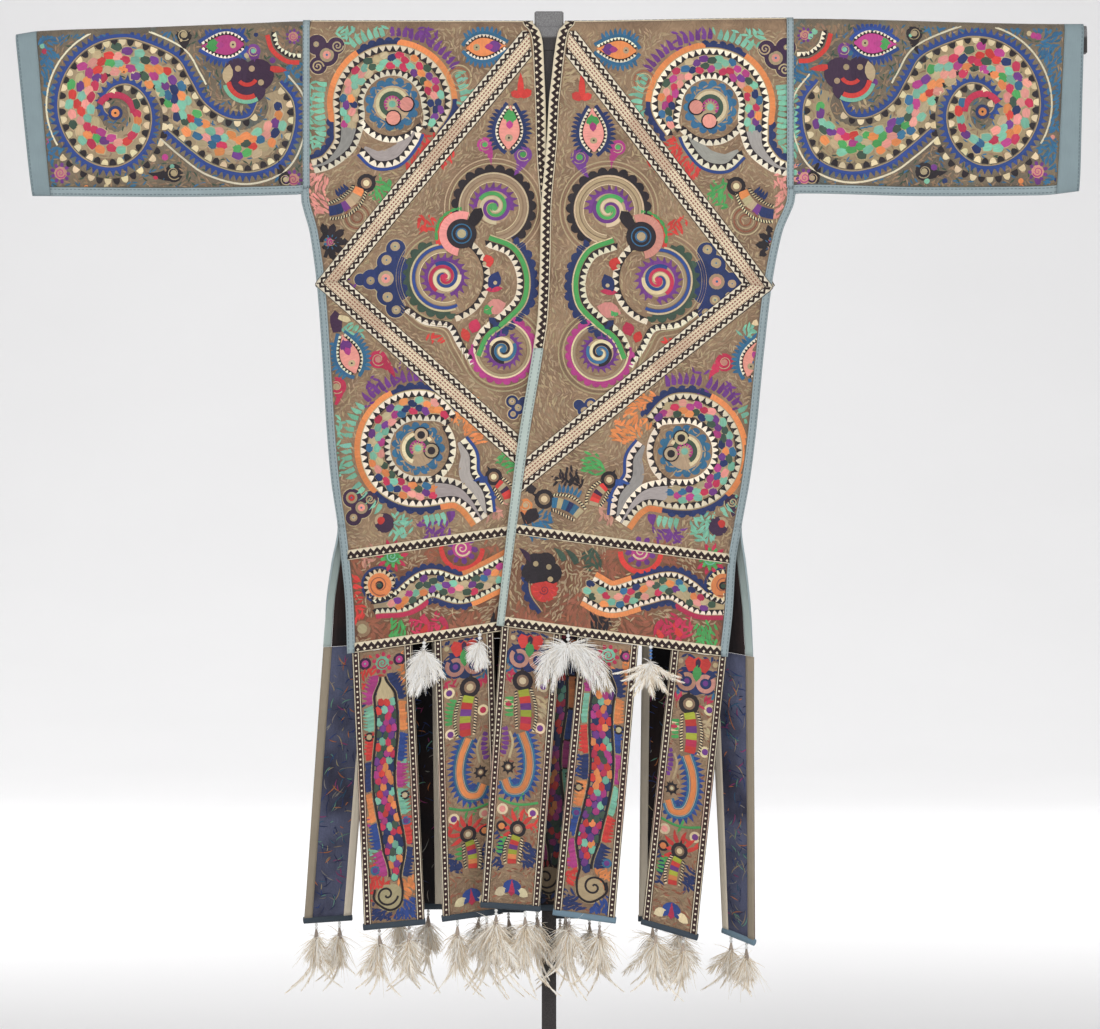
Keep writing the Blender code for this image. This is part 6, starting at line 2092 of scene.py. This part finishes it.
def add_body_motifs():
    for name, seed, parts in (
        ("front_right", 1, ((1, (0.0, 0.0), False),)),
        ("front_left", 2, ((-1, (0.006, 0.004), True),)),
        ("back", 3, ((1, (0.004, 0.0), False), (-1, (0.0, 0.0), False))),
    ):
        face, lap = PANEL_FACES[name]
        for number, (hand, shift, head_on_hem) in enumerate(parts):
            canvas = Canvas(seed + 10 * number, hand, shift)
            front_motifs(canvas, head_on_hem)

            def keep(across, down, name=name, face=face, hand=hand):
                x = -face * across
                inside = inward(x, down, face) > PANEL_EDGE + 0.0002
                inside &= (down < HEM_LINES[name](x) - 0.0005) & (down > shoulder(x) + 0.006)
                if face == BACK:
                    return inside & (across * hand < 0.0008)
                side = RIGHT if name == "front_right" else LEFT
                near = trim_line(name, side, down) + side * 0.0002
                return inside & ((x < near) if side == RIGHT else (x > near))

            ends = ("",) if len(parts) == 1 else ("_left", "_right")
            cloth = f"{name}_panel_cloth"
            canvas.build(f"embroidery_{name}{ends[number]}", cloth, cloth_place(face, lap), keep, "body_silk")


def add_sleeve_motifs():
    for side, label in SIDES:
        for face, face_label in FACES:
            hand = 1 if side * face > 0 else -1
            canvas = Canvas(20 + 2 * side + face, hand, (0.0, 0.0 if side == RIGHT else -0.002))
            sleeve_motifs(canvas)

            def keep(across, down, side=side, face=face):
                x = -face * across
                armhole = SIDE_EDGES[side, FRONT](0.0) - side * PANEL_EDGE
                cuff = cuff_x(CUFF_INNER, side, down)
                inside = (down > shoulder(x) + 0.006) & (down < sleeve_foot(x) - PANEL_EDGE)
                return inside & ((x - armhole) * side > 0.001) & ((cuff - x) * side > 0.001)

            name = f"sleeve_{label}_{face_label}"
            canvas.build(f"embroidery_{name}", f"{name}_cloth", cloth_place(face), keep, "sleeve_silk")


add_body_motifs()
add_sleeve_motifs()
add_strip_motifs()


# Bound ends, beads and feathers

FRINGE_FOOT = 1.287
PALE_DOWN = (linear(250, 243, 230), linear(240, 228, 208), linear(253, 250, 244), linear(216, 196, 168))
WHITE_DOWN = (linear(250, 248, 244), linear(238, 232, 222), linear(253, 252, 250))
WHITE_BEAD, GREY_BEAD, BLUE_BEAD = (0.86, 0.86, 0.84), (0.42, 0.38, 0.36), (0.10, 0.22, 0.50)


def tube(centres, radii, turn=10, flat=(1.0, 1.0)):
    """Points and UVs of a round bar along a line of centres, with its ends drawn in to points."""
    centres = np.concatenate([centres[:1], centres, centres[-1:]])
    radii = np.concatenate([[0.0], radii, [0.0]])
    run = np.gradient(centres[1:-1], axis=0)
    run = np.concatenate([run[:1], run, run[-1:]])
    run = unit(run)
    first = unit(np.cross(run, (0.0, 0.31, 1.0) if abs(run[0, 2]) < 0.7 else (0.0, 1.0, 0.0)))
    second = np.cross(run, first)
    angle = np.linspace(0, 2 * np.pi, turn + 1)[:, None]
    ring = np.cos(angle) * first[:, None] * flat[0] + np.sin(angle) * second[:, None] * flat[1]
    around, along = np.meshgrid(angle * radii.max(), run_along(centres))
    return centres[:, None] + ring * radii[:, None, None], np.stack([along, around], axis=-1)


class Bundle(Heap):
    """Tubes, beads and fine strands."""

    def tube(self, centres, radii, colour, turn=8):
        points, uvs = tube(np.array(centres), np.array(radii, float), turn)
        self.grids(points[None, ::-1], uvs[None, ::-1], np.array([colour], float))

    def bead(self, centre, radius, colour):
        """A round bead with its axis upright."""
        t = np.linspace(0, np.pi, 7)[1:-1]
        spine = np.array(centre) + np.stack([t * 0, t * 0, np.cos(t) * radius * 0.9], axis=-1)
        self.tube(spine, np.sin(t) * radius, colour, turn=9)

    def hairs(self, roots, aims, fall, reach, colours, half=0.00040):
        """Fine strands that start along their aims and bend towards fall."""
        count = len(roots)
        s = np.linspace(0, 1, 4)[:, None]
        lines = roots[:, None] + (aims[:, None] * s + fall[:, None] * s * s) * reach[:, None, None]
        flat = unit(np.cross(np.gradient(lines, axis=1), (0.0, -1.0, 0.15)))
        flat = flat * half * np.array((0.9, 1.0, 0.75, 0.2))[:, None]
        tones = np.array(colours)[self.rng.integers(0, len(colours), count)]
        tones = tones * self.rng.uniform(0.9, 1.06, (count, 1))
        uv = np.stack(np.meshgrid([0.0, 0.0008], np.linspace(0, 0.01, 4)), axis=-1)[:, :, ::-1]
        self.grids(np.stack([lines - flat, lines + flat], axis=2), uv, tones)

    def plume(self, root, aim, bend, length, barb, colours, barbs=34, lean=26, loose=0.10):
        """A quill that bends away from its aim, with barbs on both sides that are loose at the root."""
        rng, aim, bend = self.rng, unit(np.array(aim, float)), np.array(bend, float)
        t = np.linspace(0, 1, 14)[:, None]
        spine = root + (aim * t + bend * t * t) * length
        self.tube(spine, np.linspace(0.0006, 0.0002, 14), colours[0], turn=4)
        share = np.linspace(0.04, 1.0, barbs)
        roots = np.stack([np.interp(share, t[:, 0], spine[:, i]) for i in range(3)], axis=-1)
        run = unit(np.gradient(roots, axis=0))
        side = unit(np.cross(run, (0.0, -1.0, 0.1)) + rng.normal(0, 0.15, 3))
        reach = barb * (0.55 + 0.6 * np.sin(np.pi * share**0.7)) * (1 - 0.4 * share)
        for hand in (-1, 1):
            turn = np.radians(rng.normal(lean, 6, barbs) * (1.3 - 0.6 * share))[:, None]
            wild = rng.normal(0, loose, (barbs, 3)) * (1.6 - 1.3 * share)[:, None]
            aims = run * np.cos(turn) + side * hand * np.sin(turn) + wild
            self.hairs(roots, aims, run * 0.5 + (0, 0, -0.22), reach * rng.uniform(0.75, 1.2, barbs), colours)

    def fluff(self, root, count, spread, reach, colours):
        """Loose down that hangs from one place."""
        aims = self.rng.normal(0, spread, (count, 3)) + (0, 0, -0.6)
        fall = self.rng.normal(0, 0.25, (count, 3)) + (0, 0, -0.45)
        roots = root + self.rng.normal(0, 0.0012, (count, 3))
        self.hairs(roots, unit(aims), fall, reach * self.rng.uniform(0.4, 1.1, count), colours, 0.00034)

    def build(self, name, material, slot, *nodes):
        made = new_object(
            name, np.concatenate(self.points), np.concatenate(self.faces), np.concatenate(self.uvs),
            np.concatenate(self.colours), (material,),
        )
        merged(made, 1e-6)
        return finish_piece(made, slot, *nodes)


def add_binding(name, place, width, length, material):
    """A folded strip of dark cotton over the lower end of a strip."""
    half = width / 2
    across = np.concatenate(
        [[-half - 0.0016], np.linspace(-half - 0.0010, half + 0.0010, 13), [half + 0.0016]]
    )
    centres = place(across, np.full(15, length)) - (0.0, 0.0, 0.0030)
    points, uvs = tube(centres, np.array([0.8, *[1.0] * 13, 0.8]), 14, (0.0027, 0.0046))
    outward = points - points.mean(axis=1, keepdims=True)
    made = grid_object(name, points, uvs * (1.0, 0.004), (material,), wall=0, outward=outward, closed=True)
    return finish_piece(made, "feather_tassel")


def add_fringes():
    """Two tassels under each strip: beads on a thread, bound quills, and a few curved feathers."""
    for number, strip in enumerate(STRIP_TABLE):
        name = strip[0]
        place, width, length = strip_place(strip)
        material = LIGHT_SLATE if name in ("front_left_2", "back_left_3") else SLATE
        binding = add_binding(f"binding_{name}", place, width, length, material)
        beads, plumes = Bundle(300 + number), Bundle(400 + number)
        rng = plumes.rng
        for side in (-1, 1):
            top = place(np.array(side * width * 0.2496), np.array(length)) - (0.0, 0.0, 0.0074)
            beads.tube(
                [top + (0, 0, 0.001), top - (0, 0, 0.010)], [0.0006, 0.0006], (0.75, 0.72, 0.66), turn=5
            )
            for i in range(2):
                beads.bead(
                    top - (0, 0, 0.0024 + 0.0042 * i), 0.0023, WHITE_BEAD if (number + i) % 5 else GREY_BEAD
                )
            neck = top - (0, 0, 0.0085)
            beige = np.array(linear(176, 160, 146)) * rng.uniform(0.7, 1.15)
            lean = rng.normal(0, 0.05, 2)
            quills = neck - np.outer(np.linspace(0, 0.015, 5), (lean[0], lean[1] * 0.3, 1.0))
            plumes.tube(quills, [0.0012, 0.0020, 0.0028, 0.0034, 0.0026], beige)
            foot = neck - (0, 0, 0.010)
            fall = FRINGE_FOOT - (SHOULDER_Z - foot[2])
            sway = rng.choice((-1, 1))
            plumes.fluff(foot, 90, 0.50, 0.034, PALE_DOWN)
            for _ in range(3):
                aim = (sway * 0.15 + rng.normal(0, 0.25), rng.normal(0, 0.2), -1.0)
                bend = (rng.normal(0, 0.25), 0.0, 0.05)
                plumes.plume(foot, aim, bend, fall * rng.uniform(0.34, 0.60), 0.015, PALE_DOWN, 34, 38, 0.28)
            for part in range(4):
                hand = sway if part < 3 else -sway
                aim = (-hand * rng.uniform(0.05, 0.30), rng.normal(0, 0.12), -1.0)
                bend = (hand * rng.uniform(0.20, 0.70), 0.0, 0.12)
                plumes.plume(foot, aim, bend, fall * rng.uniform(0.62, 1.02), 0.0075, PALE_DOWN, 52, 18, 0.05)
        sew_on(
            f"strip_{name}_cloth", binding, beads.build(f"beads_{name}", BEAD, "feather_tassel"),
            plumes.build(f"feathers_{name}", DOWN, "feather_tassel", "fringe_" + name),
        )


# panel, x, beads, feathers as (aim x, z, bend x, z, length, barb length)
HEM_TASSELS = (
    ("front_right", -0.162, (WHITE_BEAD,) * 2, (
        (-0.45, -1.0, 0.1, -0.1, 0.052, 0.014), (0.1, -1.0, -0.2, 0.0, 0.054, 0.013),
        (0.40, -1.0, 0.0, 0.0, 0.040, 0.014),
        (-0.9, -0.6, 0.2, -0.6, 0.030, 0.012), (0.7, -0.6, 0.2, -0.5, 0.028, 0.012),
    )),
    ("front_right", -0.090, (WHITE_BEAD,) * 2, (
        (-0.3, -1.0, 0.2, 0.0, 0.038, 0.010), (0.3, -1.0, -0.1, 0.0, 0.034, 0.010),
        (-0.8, -0.5, 0.2, -0.4, 0.024, 0.009),
    )),
    ("front_left", 0.0248, (WHITE_BEAD,) * 2, (
        (-1.0, 0.10, 0.30, -0.95, 0.060, 0.017), (-1.0, -0.25, 0.40, -0.70, 0.056, 0.016),
        (-0.8, -0.55, 0.35, -0.55, 0.046, 0.015),
        (1.0, 0.10, -0.20, -0.90, 0.068, 0.017), (1.0, -0.20, -0.25, -0.75, 0.060, 0.016),
        (0.8, -0.50, -0.20, -0.60, 0.050, 0.014),
        (0.4, -0.50, 0.0, -0.35, 0.040, 0.012), (-0.35, -0.60, 0.2, -0.30, 0.036, 0.013),
    )),
    ("front_left", 0.132, (WHITE_BEAD, BLUE_BEAD, BLUE_BEAD, BLUE_BEAD), (
        (-0.8, -0.9, -0.1, 0.25, 0.046, 0.006), (-0.4, -1.0, -0.2, 0.1, 0.048, 0.008),
        (0.0, -1.0, 0.1, 0.0, 0.046, 0.010),
        (0.35, -1.0, 0.2, 0.1, 0.046, 0.009), (0.8, -0.8, 0.2, 0.2, 0.048, 0.006),
        (-1.0, -0.5, -0.2, 0.1, 0.044, 0.005),
    )),
)


def add_hem_tassels():
    """Single tassels of white beads and fluffy down at the lower hem."""
    for number, (panel, x, colours, feathers) in enumerate(HEM_TASSELS, 1):
        face, lap = PANEL_FACES[panel]
        drop = HEM_LINES[panel](x) - 0.0040
        top = surface(np.array(x), np.array(drop), face, lap) + (0.0, -0.0072, 0.0)
        beads, plumes = Bundle(500 + number), Bundle(600 + number)
        foot = top - (0.0, 0.0, 0.006 + 0.0046 * len(colours))
        beads.tube([top + (0, 0.002, 0.002), top, foot], [0.0006] * 3, (0.80, 0.76, 0.70), turn=5)
        for i, colour in enumerate(colours):
            beads.bead(top - (0, 0, 0.004 + 0.0046 * i), 0.0027 if colour == WHITE_BEAD else 0.0022, colour)
        plumes.tube(
            [foot + (0, 0, 0.002), foot, foot - (0, 0, 0.006)], [0.0016, 0.0030, 0.0020],
            linear(210, 204, 196),
        )
        plumes.fluff(foot, 50, 0.6, 0.022, WHITE_DOWN)
        tones = WHITE_DOWN if number < 4 else PALE_DOWN
        for aim_x, aim_z, bend_x, bend_z, length, barb in feathers:
            for part in range(2):
                aim = (aim_x + plumes.rng.normal(0, 0.10), -0.10 - 0.12 * part, aim_z)
                span = length * plumes.rng.uniform(0.82, 1.05)
                plumes.plume(
                    foot, aim, (bend_x, 0.0, bend_z), span, barb, tones, 34, 34, 0.22 if number < 4 else 0.10
                )
        sew_on(
            f"hem_panel_{panel}_cloth", beads.build(f"hem_beads_{number}", BEAD, "beaded_tassel"),
            plumes.build(f"hem_feathers_{number}", DOWN, "beaded_tassel", f"hem_tassel_{number}"),
        )


add_fringes()
add_hem_tassels()


# Stand, stage, lights and camera


def dress_stand():
    for node in ("stand_base", "stand_frame"):
        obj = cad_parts[node]
        material = stand_shader(node + "_coat")
        for slot in obj.material_slots:
            slot.material = material
        obj["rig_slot"] = "stand_black"


def place_in_scene(name, data, place):
    obj = bpy.data.objects.new(name, data)
    bpy.context.scene.collection.objects.link(obj)
    obj.location = place
    return obj


def add_light(name, energy, place, size, aim=(0.0, 0.0, 0.9)):
    data = bpy.data.lights.new(name, "AREA")
    data.energy = energy
    data.shape = "RECTANGLE"
    data.size, data.size_y = size
    light = place_in_scene(name, data, place)
    away = light.location - type(light.location)(aim)
    light.rotation_mode = "QUATERNION"
    light.rotation_quaternion = away.to_track_quat("Z", "Y")


def add_stage():
    """A pale floor that curves up into a backdrop, well behind the robe."""
    bend = np.radians(np.linspace(8, 90, 12))
    depth = np.concatenate([np.linspace(-14, 6.5, 8), 6.5 + 4.5 * np.sin(bend), [11.0]])
    rise = np.concatenate([np.zeros(8), 4.5 * (1 - np.cos(bend)), [12.0]])
    points = paired(np.linspace(-14, 14, 5), depth[:, None], rise[:, None])
    shader = Shader("studio_paper", roughness=0.95)
    soft = shader.noise(shader.place(), 1.5, 2.0)
    paper = shader.finish(shader.shaded((0.90, 0.895, 0.90), 0.98 + soft * 0.04))
    grid_object("studio_floor", points, points[..., :2], (paper,), wall=0, outward=(0, -1, 1))


def add_camera():
    data = bpy.data.cameras.new("camera")
    data.lens = 125.0
    data.sensor_width = 36.0
    camera = place_in_scene("camera", data, (0.0013, -5.0, 0.852))
    camera.rotation_euler = (math.pi / 2, 0.0, 0.0)
    bpy.context.scene.camera = camera


def add_air():
    world = bpy.data.worlds.new("studio_air")
    bpy.context.scene.world = world
    world.use_nodes = True
    inputs = world.node_tree.nodes["Background"].inputs
    inputs["Color"].default_value = (1.0, 1.0, 1.0, 1.0)
    inputs["Strength"].default_value = 0.38
    bpy.context.scene.view_settings.view_transform = "Standard"


dress_stand()
add_stage()
add_light("key", 96.0, (-1.6, -4.2, 3.4), (3.2, 2.4))
add_light("fill", 44.0, (2.8, -3.4, 1.6), (2.6, 2.6))
add_light("low", 13.0, (0.0, -3.6, 0.3), (3.0, 0.8))
add_light("behind_right", 142.0, (3.2, 3.2, 3.2), (2.0, 2.0), (0.0, 7.2, 0.9))
add_light("behind_left", 172.0, (-3.2, 3.2, 3.2), (2.0, 2.0), (0.0, 7.2, 0.9))
add_air()
add_camera()
declare_sheets()
